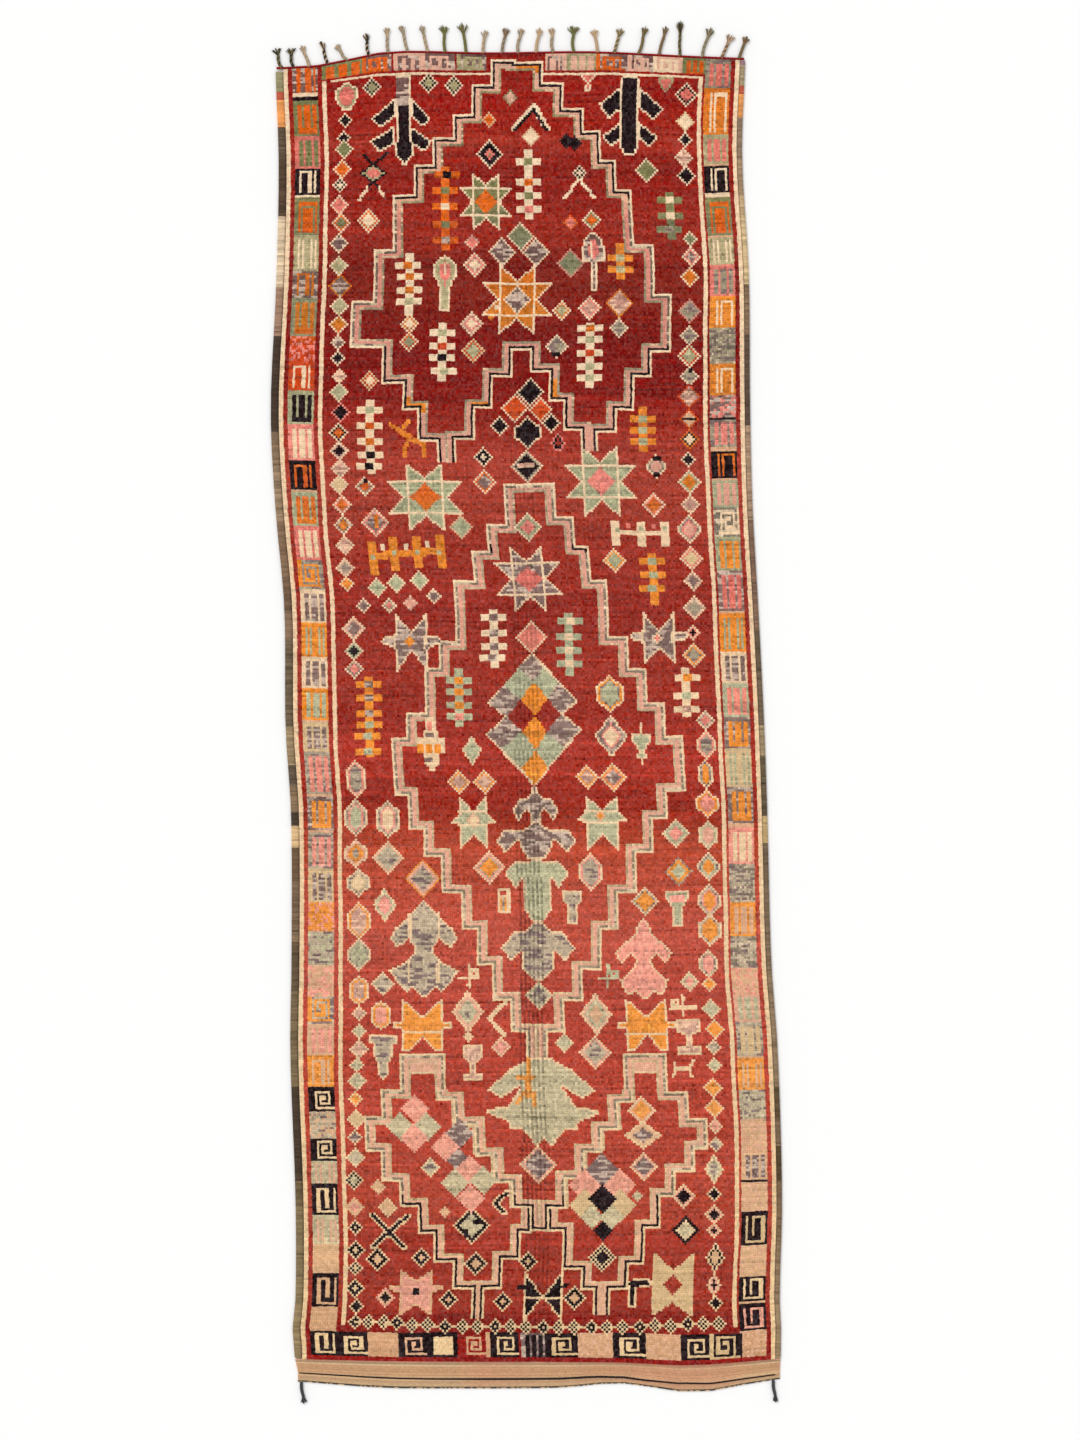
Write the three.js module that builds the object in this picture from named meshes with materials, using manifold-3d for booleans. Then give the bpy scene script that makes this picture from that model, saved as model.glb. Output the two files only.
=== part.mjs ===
// Hand-knotted wool runner rug lying flat on a floor.
// Millimetres, +Z up. X runs across the rug and Y along it, towards the tasselled end.
import * as THREE from 'three';
import { mergeVertices } from 'three/addons/utils/BufferGeometryUtils.js';
import Module from 'manifold-3d';

// Driving dimensions
const PILE_THICKNESS = 10;
const FLATWEAVE_THICKNESS = 4;
const FLATWEAVE_STEP = 3; // length over which the pile drops to the flat weave
const CREASE_DEPTH = 1.6; // the old fold line along the middle
const CREASE_HALF_WIDTH = 16;
const SELVEDGE_THICKNESS = 9;
const SELVEDGE_WIDTH = { left: 21, right: 14 };
const HEADING_WIDTH = 7; // rolled edge of the top end
const HEADING_THICKNESS = 8;
const TASSEL_ROOT_WIDTH = 10;
const TASSEL_WAIST_WIDTH = 7;
const TASSEL_THICKNESS = 7;
const TASSEL_TIP_THICKNESS = 4;
const TASSEL_BRAIDED_SHARE = 0.55; // the rest of its length is loose yarn
const TASSEL_NOTCH_SHARE = 0.84; // where the loose yarn parts in two locks
const TASSEL_ROOT_DEPTH = 3; // how far a tassel reaches into the heading
const ROUNDED_EDGE_SHARE = 0.55; // height at the edge of a wrapped cord beside its crown
const GAP = 0.3; // between neighbouring pieces
const COLUMN_CROWDING = 1.5; // over 1, columns lie closer near the middle
const SELVEDGE_COLUMNS = 4;
const HEADING_COLUMNS = 2;
const PILE_COLUMNS = 20;
const PILE_ROWS = 44;
const FLATWEAVE_ROWS = 4;

// Outer edges of the cloth, selvedges included: y along the rug, then x of either side
const SIDES = [
  { y: 1631, left: -627, right: 548 },
  { y: 1406, left: -619, right: 540 },
  { y: 1106, left: -625, right: 557 },
  { y: 781, left: -639, right: 560 },
  { y: 531, left: -627, right: 566 },
  { y: 281, left: -605, right: 580 },
  { y: -19, left: -602, right: 595 },
  { y: -244, left: -588, right: 603 },
  { y: -619, left: -587, right: 613 },
  { y: -844, left: -590, right: 629 },
  { y: -1219, left: -577, right: 640 },
  { y: -1469, left: -577, right: 634 },
  { y: -1569, left: -585, right: 638 },
  { y: -1669, left: -570, right: 634 },
];
// Top edge with its heading, the end of the pile, and the hem of the flat weave
const TOP_EDGE = [
  { x: -630, y: 1614 },
  { x: -552, y: 1614 },
  { x: -440, y: 1634 },
  { x: -340, y: 1653 },
  { x: -90, y: 1650 },
  { x: 160, y: 1653 },
  { x: 400, y: 1642 },
  { x: 548, y: 1636 },
];
const PILE_END = [
  { x: -590, y: -1613 },
  { x: -315, y: -1619 },
  { x: 235, y: -1622 },
  { x: 410, y: -1629 },
  { x: 640, y: -1612 },
];
const HEM_EDGE = [
  { x: -575, y: -1671 },
  { x: -365, y: -1687 },
  { x: -215, y: -1689 },
  { x: 85, y: -1687 },
  { x: 235, y: -1676 },
  { x: 420, y: -1699 },
  { x: 535, y: -1681 },
  { x: 640, y: -1664 },
];
// Tassels of the top end: x of the root, sideways lean, reach past the heading, width of the tip
const TASSELS = [
  { root: -610, lean: -15, reach: 42, tip: 20 },
  { root: -580, lean: -10, reach: 42, tip: 20 },
  { root: -542, lean: -20, reach: 45, tip: 13 },
  { root: -495, lean: -17, reach: 50, tip: 12 },
  { root: -445, lean: -30, reach: 30, tip: 13 },
  { root: -392, lean: -8, reach: 48, tip: 15 },
  { root: -345, lean: -3, reach: 58, tip: 11 },
  { root: -295, lean: -17, reach: 60, tip: 11 },
  { root: -245, lean: -17, reach: 60, tip: 10 },
  { root: -202, lean: -3, reach: 62, tip: 21 },
  { root: -150, lean: -10, reach: 68, tip: 20 },
  { root: -108, lean: 6, reach: 50, tip: 15 },
  { root: -60, lean: 12, reach: 58, tip: 13 },
  { root: -20, lean: 8, reach: 55, tip: 14 },
  { root: 25, lean: 10, reach: 55, tip: 12 },
  { root: 68, lean: -4, reach: 55, tip: 10 },
  { root: 120, lean: -2, reach: 60, tip: 22 },
  { root: 178, lean: -8, reach: 50, tip: 16 },
  { root: 220, lean: 18, reach: 55, tip: 17 },
  { root: 280, lean: 20, reach: 62, tip: 14 },
  { root: 332, lean: 20, reach: 65, tip: 14 },
  { root: 385, lean: 0, reach: 82, tip: 14 },
  { root: 440, lean: 22, reach: 68, tip: 18 },
  { root: 488, lean: 27, reach: 52, tip: 18 },
  { root: 532, lean: 20, reach: 48, tip: 15 },
];
// Tassels at the corners of the flat-woven end
const CORNER_TASSELS = [
  { side: 'left', root: -561, lean: 7, reach: 56, tip: 17 },
  { side: 'right', root: 618, lean: 7, reach: 56, tip: 14 },
];
const KNOT_WIDTH = 16;
const KNOT_LENGTH = 8;

const WOOL = {
  pile: new THREE.MeshStandardMaterial({ color: 0xa8322a, roughness: 0.95, metalness: 0 }),
  overcast: new THREE.MeshStandardMaterial({ color: 0x5c5143, roughness: 0.95, metalness: 0 }),
  braid: new THREE.MeshStandardMaterial({ color: 0x77714f, roughness: 0.95, metalness: 0 }),
  dark: new THREE.MeshStandardMaterial({ color: 0x3a3d3b, roughness: 0.95, metalness: 0 }),
};

const lerp = THREE.MathUtils.lerp;

// Smooth value of one column of a table at a place along another column
function follow(rows, along, column, at) {
  const ordered = rows[0][along] < rows[rows.length - 1][along] ? rows : [...rows].reverse();
  const last = ordered.length - 1;
  const inside = THREE.MathUtils.clamp(at, ordered[0][along], ordered[last][along]);
  let i = 0;
  while (i < last - 1 && ordered[i + 1][along] < inside) i += 1;
  const slope = (k) => {
    const before = ordered[Math.max(k - 1, 0)];
    const after = ordered[Math.min(k + 1, last)];
    return (after[column] - before[column]) / (after[along] - before[along]);
  };
  const span = ordered[i + 1][along] - ordered[i][along];
  const t = (inside - ordered[i][along]) / span;
  const ease = t * t * (3 - 2 * t);
  const startBend = t * (1 - t) * (1 - t) * span * slope(i);
  const endBend = t * t * (t - 1) * span * slope(i + 1);
  return lerp(ordered[i][column], ordered[i + 1][column], ease) + startBend + endBend;
}

const sideX = (side, y) => follow(SIDES, 'y', side, y);
const topY = (x) => follow(TOP_EDGE, 'x', 'y', x);
const clothTopY = (x) => topY(x) - HEADING_WIDTH - GAP;
const pileEndY = (x) => follow(PILE_END, 'x', 'y', x);
const hemY = (x) => follow(HEM_EDGE, 'x', 'y', x);

// A slab made of a grid: place gives x and y, thickness gives z, for shares across and along
function slab(columns, rows, place, thickness) {
  const geometry = new THREE.BoxGeometry(1, 1, 1, columns, rows, 1);
  const position = geometry.attributes.position;
  for (let i = 0; i < position.count; i += 1) {
    const across = position.getX(i) + 0.5;
    const along = Math.round((position.getY(i) + 0.5) * rows);
    const spot = place(across, along);
    const isTop = position.getZ(i) > 0;
    position.setXYZ(i, spot.x, spot.y, isTop ? thickness(spot, along) : 0);
  }
  geometry.computeVertexNormals();
  return geometry;
}

// Side edge of the knotted cloth at a share of its length, 0 at the flat weave and 1 at the top
function pileEdge(side, share) {
  const y = lerp(pileEndY(0), clothTopY(0), share);
  const inward = side === 'left' ? 1 : -1;
  return sideX(side, y) + inward * (SELVEDGE_WIDTH[side] + GAP);
}

function pilePlace(across, share) {
  const x = lerp(pileEdge('left', share), pileEdge('right', share), across);
  return { x, y: lerp(pileEndY(x), clothTopY(x), share) };
}

function flatweavePlace(across, share) {
  const y = lerp(hemY(0), pileEndY(0), share);
  const x = lerp(sideX('left', y), sideX('right', y), across);
  return { x, y: lerp(hemY(x), pileEndY(x) - FLATWEAVE_STEP, share) };
}

// Columns crowd towards the middle, where the fold line runs
function crowded(across) {
  const offset = 2 * across - 1;
  return 0.5 + 0.5 * Math.sign(offset) * Math.abs(offset) ** COLUMN_CROWDING;
}

function rugGeometry() {
  const place = (across, row) => {
    const share = crowded(across);
    return row <= FLATWEAVE_ROWS
      ? flatweavePlace(share, row / FLATWEAVE_ROWS)
      : pilePlace(share, (row - FLATWEAVE_ROWS - 1) / PILE_ROWS);
  };
  const thickness = (spot, row) => {
    if (row <= FLATWEAVE_ROWS) return FLATWEAVE_THICKNESS;
    const middle = (sideX('left', spot.y) + sideX('right', spot.y)) / 2;
    const away = (spot.x - middle) / CREASE_HALF_WIDTH;
    return PILE_THICKNESS - CREASE_DEPTH * Math.exp(-away * away);
  };
  return slab(PILE_COLUMNS, FLATWEAVE_ROWS + 1 + PILE_ROWS, place, thickness);
}

// Rounded section of a wrapped cord: its height at a share across it
function crown(share) {
  return lerp(ROUNDED_EDGE_SHARE, 1, Math.sin(Math.PI * share));
}

function selvedgeGeometry(side) {
  const outward = side === 'left' ? -1 : 1;
  const edgeShare = side === 'left' ? 0 : 1;
  const place = (across, row) => {
    const edge = pilePlace(edgeShare, row / PILE_ROWS);
    const out = side === 'left' ? 1 - across : across;
    const lift = row === 0 ? GAP : 0;
    return { x: edge.x + outward * (GAP + out * SELVEDGE_WIDTH[side]), y: edge.y + lift, out };
  };
  const thickness = (spot) => SELVEDGE_THICKNESS * crown(spot.out);
  return slab(SELVEDGE_COLUMNS, PILE_ROWS, place, thickness);
}

// Plan of one tassel, root at the origin and pointing along its lean: a braid and two loose locks
function tasselGeometry({ lean, reach, tip }, rootDepth) {
  const length = Math.hypot(lean, reach);
  const waist = length * TASSEL_BRAIDED_SHARE;
  const notch = length * TASSEL_NOTCH_SHARE;
  const halfRoot = TASSEL_ROOT_WIDTH / 2;
  const halfWaist = TASSEL_WAIST_WIDTH / 2;
  const plan = new THREE.Shape([
    new THREE.Vector2(-halfRoot, -rootDepth),
    new THREE.Vector2(halfRoot, -rootDepth),
    new THREE.Vector2(halfWaist, waist),
    new THREE.Vector2(tip / 2, length),
    new THREE.Vector2(0, notch),
    new THREE.Vector2(-tip / 2, length),
    new THREE.Vector2(-halfWaist, waist),
  ]);
  const geometry = new THREE.ExtrudeGeometry(plan, { depth: 1, bevelEnabled: false });
  const position = geometry.attributes.position;
  for (let i = 0; i < position.count; i += 1) {
    const share = THREE.MathUtils.clamp(position.getY(i) / length, 0, 1);
    const thickness = lerp(TASSEL_THICKNESS, TASSEL_TIP_THICKNESS, share);
    position.setZ(i, position.getZ(i) * thickness);
  }
  geometry.rotateZ(-Math.atan2(lean, reach));
  return geometry;
}

const wasm = await Module();
wasm.setup();

function toSolid(geometry) {
  const bare = geometry.clone();
  bare.deleteAttribute('normal');
  bare.deleteAttribute('uv');
  const merged = mergeVertices(bare);
  return new wasm.Manifold(new wasm.Mesh({
    numProp: 3,
    vertProperties: new Float32Array(merged.attributes.position.array),
    triVerts: new Uint32Array(merged.index.array),
  }));
}

function fused(geometries) {
  const solid = geometries.map(toSolid).reduce((whole, piece) => whole.add(piece));
  const mesh = solid.getMesh();
  const geometry = new THREE.BufferGeometry();
  geometry.setAttribute('position', new THREE.BufferAttribute(mesh.vertProperties, 3));
  geometry.setIndex(new THREE.BufferAttribute(mesh.triVerts, 1));
  geometry.computeVertexNormals();
  return geometry;
}

// The heading keeps to the columns of the cloth below it and runs level over the selvedges
function topFringeGeometry() {
  const rows = PILE_COLUMNS + 2;
  const place = (across, row) => {
    const column = THREE.MathUtils.clamp(row - 1, 0, PILE_COLUMNS);
    const corner = pilePlace(crowded(1 - column / PILE_COLUMNS), 1);
    const past = { 0: GAP + SELVEDGE_WIDTH.right, [rows]: -GAP - SELVEDGE_WIDTH.left };
    return { x: corner.x + (past[row] ?? 0), y: corner.y + GAP + across * HEADING_WIDTH, across };
  };
  const thickness = (spot) => HEADING_THICKNESS * crown(spot.across);
  const heading = slab(HEADING_COLUMNS, rows, place, thickness);
  const tassels = TASSELS.map((tassel) => {
    const geometry = tasselGeometry(tassel, TASSEL_ROOT_DEPTH);
    return geometry.translate(tassel.root, topY(tassel.root), 0);
  });
  return fused([heading, ...tassels]);
}

// A tied knot under the hem, with its strand pointing away from the cloth
function cornerTasselGeometry(tassel) {
  const reach = tassel.reach - KNOT_LENGTH;
  const strand = tasselGeometry({ ...tassel, lean: -tassel.lean, reach }, KNOT_LENGTH / 2);
  strand.rotateZ(Math.PI);
  const knot = new THREE.BoxGeometry(KNOT_WIDTH, KNOT_LENGTH, TASSEL_THICKNESS);
  knot.translate(0, KNOT_LENGTH / 2, TASSEL_THICKNESS / 2);
  const tied = fused([knot, strand]);
  const ends = [-KNOT_WIDTH / 2, 0, KNOT_WIDTH / 2].map((offset) => hemY(tassel.root + offset));
  return tied.translate(tassel.root, Math.min(...ends) - GAP - KNOT_LENGTH, 0);
}

function piece(name, geometry, material) {
  const mesh = new THREE.Mesh(geometry, material);
  mesh.name = name;
  return mesh;
}

const rug = new THREE.Group();
rug.add(piece('rug', rugGeometry(), WOOL.pile));
for (const side of ['left', 'right']) {
  rug.add(piece(`selvedge_${side}`, selvedgeGeometry(side), WOOL.overcast));
}
rug.add(piece('top_fringe', topFringeGeometry(), WOOL.braid));
for (const tassel of CORNER_TASSELS) {
  rug.add(piece(`corner_tassel_${tassel.side}`, cornerTasselGeometry(tassel), WOOL.dark));
}

// The origin lies on the floor under the middle of everything
const middle = new THREE.Box3().setFromObject(rug).getCenter(new THREE.Vector3());
rug.position.set(-middle.x, -middle.y, 0);
rug.updateMatrixWorld(true);

export default rug;
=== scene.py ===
# %% [markdown]
# # A hand-knotted runner rug
# The real rug is wool pile tied knot by knot on woollen warps, with overcast sides, a flat-woven end
# and a braided fringe. The CAD frame gives its outline. This lesson builds the look on top of it:
# first the outline is measured, then the pattern is drawn as a knotting chart, and then each chart
# square becomes one small tuft of mesh.

# %% Load the frame
import math

import bmesh
import bpy
import numpy as np
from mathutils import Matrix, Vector


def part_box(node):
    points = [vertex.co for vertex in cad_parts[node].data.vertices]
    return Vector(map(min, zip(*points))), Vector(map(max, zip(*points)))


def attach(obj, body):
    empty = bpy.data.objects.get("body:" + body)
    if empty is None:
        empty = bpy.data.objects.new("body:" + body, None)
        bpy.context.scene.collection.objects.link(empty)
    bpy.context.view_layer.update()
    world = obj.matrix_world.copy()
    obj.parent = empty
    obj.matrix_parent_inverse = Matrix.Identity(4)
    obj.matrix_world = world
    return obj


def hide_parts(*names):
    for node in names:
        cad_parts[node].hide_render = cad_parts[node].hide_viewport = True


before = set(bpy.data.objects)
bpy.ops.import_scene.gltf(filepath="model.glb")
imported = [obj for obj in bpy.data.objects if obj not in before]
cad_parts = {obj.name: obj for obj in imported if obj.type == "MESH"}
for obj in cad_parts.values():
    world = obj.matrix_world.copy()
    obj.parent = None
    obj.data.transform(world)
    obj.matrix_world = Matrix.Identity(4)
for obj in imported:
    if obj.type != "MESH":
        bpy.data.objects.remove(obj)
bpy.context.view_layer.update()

print("CAD nodes:", ", ".join(sorted(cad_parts)))

# %% [markdown]
# ## Measuring the cloth
# No hand-woven rug is straight, so the sides lean and the ends wave. A ray shot at the CAD cloth from
# outside gives the edge at that place. A row of such rays gives the whole edge as a smooth line that
# every later piece can follow. The flat-woven end is wider than the pile, because it runs under the wrapped
# sides too, so the pile's own sides stop a little above it.

# %% Edges of the cloth
WEAVE_LEVEL = 0.002
PILE_LEVEL = 0.007
FAR = 3.0
FACING = 0.7
STRAY = 0.1
bpy.context.view_layer.update()


def edge(node, places, along, side, level):
    """The edge of a node met from one side: its X along a list of Y places, or its Y along X places."""
    found = []
    for place in places:
        start = (place, side * FAR, level) if along == "x" else (side * FAR, place, level)
        towards = (0, -side, 0) if along == "x" else (-side, 0, 0)
        hit, spot, facing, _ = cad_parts[node].ray_cast(Vector(start), Vector(towards))
        if hit and -facing.dot(Vector(towards)) > FACING:
            found.append((place, spot.y if along == "x" else spot.x))
    line = np.array(found).T
    return line[:, abs(line[1] - np.median(line[1])) < STRAY]


low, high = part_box("rug")
INSET = 0.004
END_RAYS = 120
SIDE_RAYS = 240
across_places = np.linspace(low.x + INSET, high.x - INSET, END_RAYS)
along_places = np.linspace(low.y + INSET, high.y - INSET, SIDE_RAYS)
LEFT = edge("rug", along_places, "y", -1, WEAVE_LEVEL)
RIGHT = edge("rug", along_places, "y", 1, WEAVE_LEVEL)
TOP = edge("rug", across_places, "x", 1, WEAVE_LEVEL)
HEM = edge("rug", across_places, "x", -1, WEAVE_LEVEL)
PILE_END = edge("rug", across_places, "x", -1, PILE_LEVEL)
LEFT_OUT = edge("selvedge_left", along_places, "y", -1, WEAVE_LEVEL * 2)
RIGHT_OUT = edge("selvedge_right", along_places, "y", 1, WEAVE_LEVEL * 2)
top_mean = TOP[1].mean()
end_mean = PILE_END[1].mean()
hem_mean = HEM[1].mean()
END_CLEAR = 0.02
PILE_LEFT = LEFT[:, LEFT[0] > end_mean + END_CLEAR]
PILE_RIGHT = RIGHT[:, RIGHT[0] > end_mean + END_CLEAR]
pile_wide = float(PILE_RIGHT[1].mean() - PILE_LEFT[1].mean())
pile_long = float(top_mean - end_mean)
print(f"pile {pile_wide:.3f} m wide and {pile_long:.3f} m long")

# %% [markdown]
# ## From knots to places
# A knotting chart is a plain grid, and the cloth is that grid pulled slightly out of shape. One function
# takes a share across and a share down to a place on the cloth, and its inverse takes a place back to a
# column and a row. Places in the tables below are in steps of 2.5 mm, counted from a corner up and left
# of the rug. A knot is about two steps wide, and a little taller than wide because wefts lie between rows.

# %% The knot grid
STEP = 0.0025
KNOT_WIDE = 2.15
KNOT_TALL = 2.25
COLUMNS = round(pile_wide / STEP / KNOT_WIDE)
ROWS = round(pile_long / STEP / KNOT_TALL)
CORNER = (-1.31569, 1.784035)
RUG_MIDDLE = 526
END_ROWS = 26
TRIES = 12
SEED = 11


def along_edge(line, places):
    """The measured edge read at any places."""
    return np.interp(places, line[0], line[1])


def sag(x, down):
    """How far a row bends up or down: near an end it follows that end, and it soon runs level."""
    from_top = np.exp(-down * ROWS / END_ROWS)
    from_end = np.exp((down - 1) * ROWS / END_ROWS)
    return (along_edge(TOP, x) - top_mean) * from_top + (along_edge(PILE_END, x) - end_mean) * from_end


def on_cloth(across, down):
    """X and Y of shares of the way across and down the pile."""
    level = top_mean + (end_mean - top_mean) * down
    left = along_edge(PILE_LEFT, level)
    x = left + (along_edge(PILE_RIGHT, level) - left) * across
    return x, level + sag(x, down)


def seat(right, below):
    """Knot column and row of a place given in steps right of and below the corner."""
    x = CORNER[0] + right * STEP
    y = CORNER[1] - below * STEP
    down = (top_mean - y) / (top_mean - end_mean)
    for _ in range(TRIES):
        down = (top_mean - y + sag(x, down)) / (top_mean - end_mean)
    level = top_mean + (end_mean - top_mean) * down
    left = along_edge(PILE_LEFT, level)
    across = (x - left) / (along_edge(PILE_RIGHT, level) - left)
    return across * COLUMNS, down * ROWS


def row_at(below):
    """Row of a height given in steps, in the middle of the rug."""
    return int(round(seat(RUG_MIDDLE, below)[1]))


COLUMN, ROW = np.meshgrid(np.arange(COLUMNS) + 0.5, np.arange(ROWS) + 0.5)
chart = np.full((ROWS, COLUMNS), "r")
dice = np.random.default_rng(SEED)
print(f"{COLUMNS} by {ROWS} knots")

# %% [markdown]
# ## How a weaver draws with knots
# Every motif is a filled shape with coloured rings inside its edge. Peeling one knot off all round, again
# and again, gives those rings, and on slanting sides it leaves the beaded look of single knots that touch
# only at their corners. The letters are yarns: c cream, w white, k black, p pink, q pale pink, o orange,
# a amber, g green, l pale green, v violet, s sand, y straw, e grey green, m grey pink, n charcoal, t taupe
# and r red.

# %% Chart tools
def around(right, below):
    """How far each knot lies right of and below a place, in steps. The place moves to a knot's middle."""
    column, row = seat(right, below)
    return (COLUMN - int(column) - 0.5) * KNOT_WIDE, (ROW - int(row) - 0.5) * KNOT_TALL


def peeled(inside):
    """A filled shape without its outermost knots."""
    solid = np.pad(inside, 1)
    return inside & solid[:-2, 1:-1] & solid[2:, 1:-1] & solid[1:-1, :-2] & solid[1:-1, 2:]


def knot_in(inside, rings):
    """Fills a shape, one yarn for each ring from outside, and the last one for the rest."""
    for yarn in rings[:-1]:
        core = peeled(inside)
        chart[inside & ~core] = yarn
        inside = core
    chart[inside] = rings[-1]


def table(text):
    """The rows of a text table, with numbers as numbers."""
    rows = [line.split() for line in text.strip().splitlines()]
    return [[float(word) if word[0].isdigit() or word[0] == "-" else word for word in row] for row in rows]


def draw_all(draw, text):
    """Draws one shape for every row of a text table."""
    for row in table(text):
        draw(*row)


def pairs_of(words):
    """Words such as 12:30 as pairs of numbers."""
    return [tuple(float(number) for number in word.split(":")) for word in words]


def inside_of(x, y, spots):
    """Which knots lie inside a closed line: a way out of the shape crosses it an odd number of times."""
    inside = np.zeros(chart.shape, bool)
    for (ax, ay), (bx, by) in zip(spots, spots[1:] + spots[:1]):
        if ay != by:
            crossed = (y < ay) != (y < by)
            inside ^= crossed & (x < ax + (bx - ax) * (y - ay) / (by - ay))
    return inside


print("chart tools ready")

# %% [markdown]
# Each shape below takes a place and a size in steps and the letters of its rings. Shapes that are the same
# on both sides are counted from a middle knot, so both halves come out alike, as a weaver counts them.

# %% Shapes
ARM = 0.48
NOTCH = 0.56
HEART = 0.4
OVAL_SLOPE = 0.95
LADDER_WIDE = 26
LADDER_STEM = 8
LADDER_BAR = 6.5


def diamond(right, below, width, height, rings):
    """A lozenge with one knot at each point, and equal sides where they come out one knot apart."""
    dx, dy = around(right, below)
    half = round((width / KNOT_WIDE - 1) / 2) + 0.5
    tall = round((height / KNOT_TALL - 1) / 2) + 0.5
    if abs(half - tall) == 1:
        half = tall = round((width / KNOT_WIDE + height / KNOT_TALL - 2) / 4) + 0.5
    knot_in(abs(dx) / KNOT_WIDE / half + abs(dy) / KNOT_TALL / tall <= 1, rings)


def oval(right, below, width, height, rings):
    """A long six-sided lozenge with upright sides."""
    dx, dy = around(right, below)
    knot_in((abs(dx) <= width / 2) & (abs(dy) + OVAL_SLOPE * abs(dx) <= height / 2), rings)


def block(right, below, width, height, rings):
    """A rectangle."""
    column, row = seat(right, below)
    wide = max(round(width / KNOT_WIDE), 1)
    tall = max(round(height / KNOT_TALL), 1)
    first_column = round(column - wide / 2)
    first_row = round(row - tall / 2)
    inside = (COLUMN > first_column) & (COLUMN < first_column + wide)
    knot_in(inside & (ROW > first_row) & (ROW < first_row + tall), rings)


def figure(right, below, rings, pairs):
    """A shape that is the same on both sides: how far out and down its corners lie, from top to bottom."""
    dx, dy = around(right, below)
    knot_in(inside_of(dx, dy, [*pairs, *[(-out, down) for out, down in reversed(pairs)]]), rings)


def shape(rings, places):
    """Any shape with straight sides, by its corners."""
    knot_in(inside_of(COLUMN, ROW, [seat(*place) for place in places]), rings)


def stroke(yarn, wide, places):
    """A line of knots through places."""
    for first, last in zip(places, places[1:]):
        start = np.multiply(seat(*first), (KNOT_WIDE, KNOT_TALL))
        run = np.multiply(seat(*last), (KNOT_WIDE, KNOT_TALL)) - start
        dx = COLUMN * KNOT_WIDE - start[0]
        dy = ROW * KNOT_TALL - start[1]
        share = ((dx * run[0] + dy * run[1]) / max(run @ run, 1e-9)).clip(0, 1)
        chart[np.hypot(dx - share * run[0], dy - share * run[1]) <= wide / 2] = yarn


def star(right, below, width, height, body, heart):
    """An eight-pointed star on a square, with two lines each way and a diamond at its heart."""
    dx, dy = around(right, below)
    x = abs(dx) / (width / 2)
    y = abs(dy) / (height / 2)
    points = (x <= ARM) & (y <= NOTCH + (1 - NOTCH) * x / ARM)
    points |= (y <= ARM) & (x <= NOTCH + (1 - NOTCH) * y / ARM)
    knot_in(points, "c" + body)
    for gap, size, knot in ((dx, width, KNOT_WIDE), (dy, height, KNOT_TALL)):
        line = int(ARM * size / 2 / knot) * knot
        chart[points & (abs(abs(gap) - line) < 0.1)] = "c"
    knot_in(x + y <= HEART, heart)


def ladder(right, top, bottom, yarn, bars):
    """A stem crossed by short bars, each with a coloured square: a height and a yarn for every bar."""
    block(right, (top + bottom) / 2, LADDER_STEM, bottom - top, yarn)
    for bar in bars:
        height = float(bar[:-1])
        block(right, height, LADDER_WIDE, LADDER_BAR, yarn)
        block(right, height, LADDER_STEM, LADDER_BAR, bar[-1])


print("shapes ready")

# %% [markdown]
# ## The border
# A cream line, a red line, a column of square cells, a red line and a cream line run down each side. The
# cells repeat a few small figures that weavers know by heart, so each figure is charted once and drawn
# in a cell of any size and in any two yarns, and the right side has them turned over.

# %% Border cells
BORDER = 20
LINE_WIDE = 2
CELL_FROM = 2 * LINE_WIDE
CELL_WIDE = 12
CELL_TO = CELL_FROM + CELL_WIDE
FIGURE_WIDE = 10
FLECK_SHARE = 0.32
CELLS = {
    "plain": [".........."],
    "bars": ["..........", *[".##.##.##."] * 10, ".........."],
    "thin": ["..........", *[".#.#..#.#."] * 10, ".........."],
    "rails": ["#..##..#.#"],
    "fork": ["..........", *[".##.##.##."] * 8, *[".########."] * 2, ".........."],
    "comb": ["..........", *[".########."] * 2, *[".##.##.##."] * 8, ".........."],
    "hook": ["..........", ".#####.#..", *[".#...#.#.."] * 9, ".........."],
    "nest": ["..........", ".########.", ".#......#.", *[".#.####.#."] * 7, ".........."],
    "coil": [
        "##########", "#.....##.#", *["#..##.##.#"] * 6, "#..#####.#", "#........#", "##########",
    ],
    "key": [
        ".#########", ".#......##", ".#.####.##", ".#.#..#.##", ".#.#..#.##", ".#.##.#.##",
        ".#.##.#.##", ".#....#.##", ".#....#.##", ".######.##", ".........#", "##########",
    ],
    "spiral": [
        "##########", "##......##", "##.####.##", "##.#..#.##", "##.#..#.##",
        "##.#.##.##", "##.#....##", "##.#######", "##........", "##########",
    ],
    "frame": [*["##########"] * 2, *["##......##"] * 8, *["##########"] * 2],
}


def cell(first_column, first_row, last_column, last_row, drawing, ground, yarn, turned=False):
    """One border cell, with its figure stretched to fit."""
    wide = max(last_column - first_column, 1)
    tall = max(last_row - first_row, 1)
    for row in range(tall):
        for column in range(wide):
            if drawing == "fleck":
                marked = dice.random() < FLECK_SHARE
            else:
                rows = CELLS[drawing]
                knot = column * FIGURE_WIDE // wide
                if turned:
                    knot = FIGURE_WIDE - 1 - knot
                marked = rows[row * len(rows) // tall][knot] == "#"
            chart[first_row + row, first_column + column] = yarn if marked else ground


def side_cells(text, first_column, place, turned):
    """The cells of one long side: heights from and to, a figure, its ground and its yarn."""
    for top, bottom, drawing, ground, yarn in table(text):
        first_row = max(int(round(seat(place, top)[1])), 0)
        last_row = min(int(round(seat(place, bottom)[1])), ROWS - 2)
        cell(first_column, first_row, first_column + CELL_WIDE, last_row, drawing, ground, yarn, turned)


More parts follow.
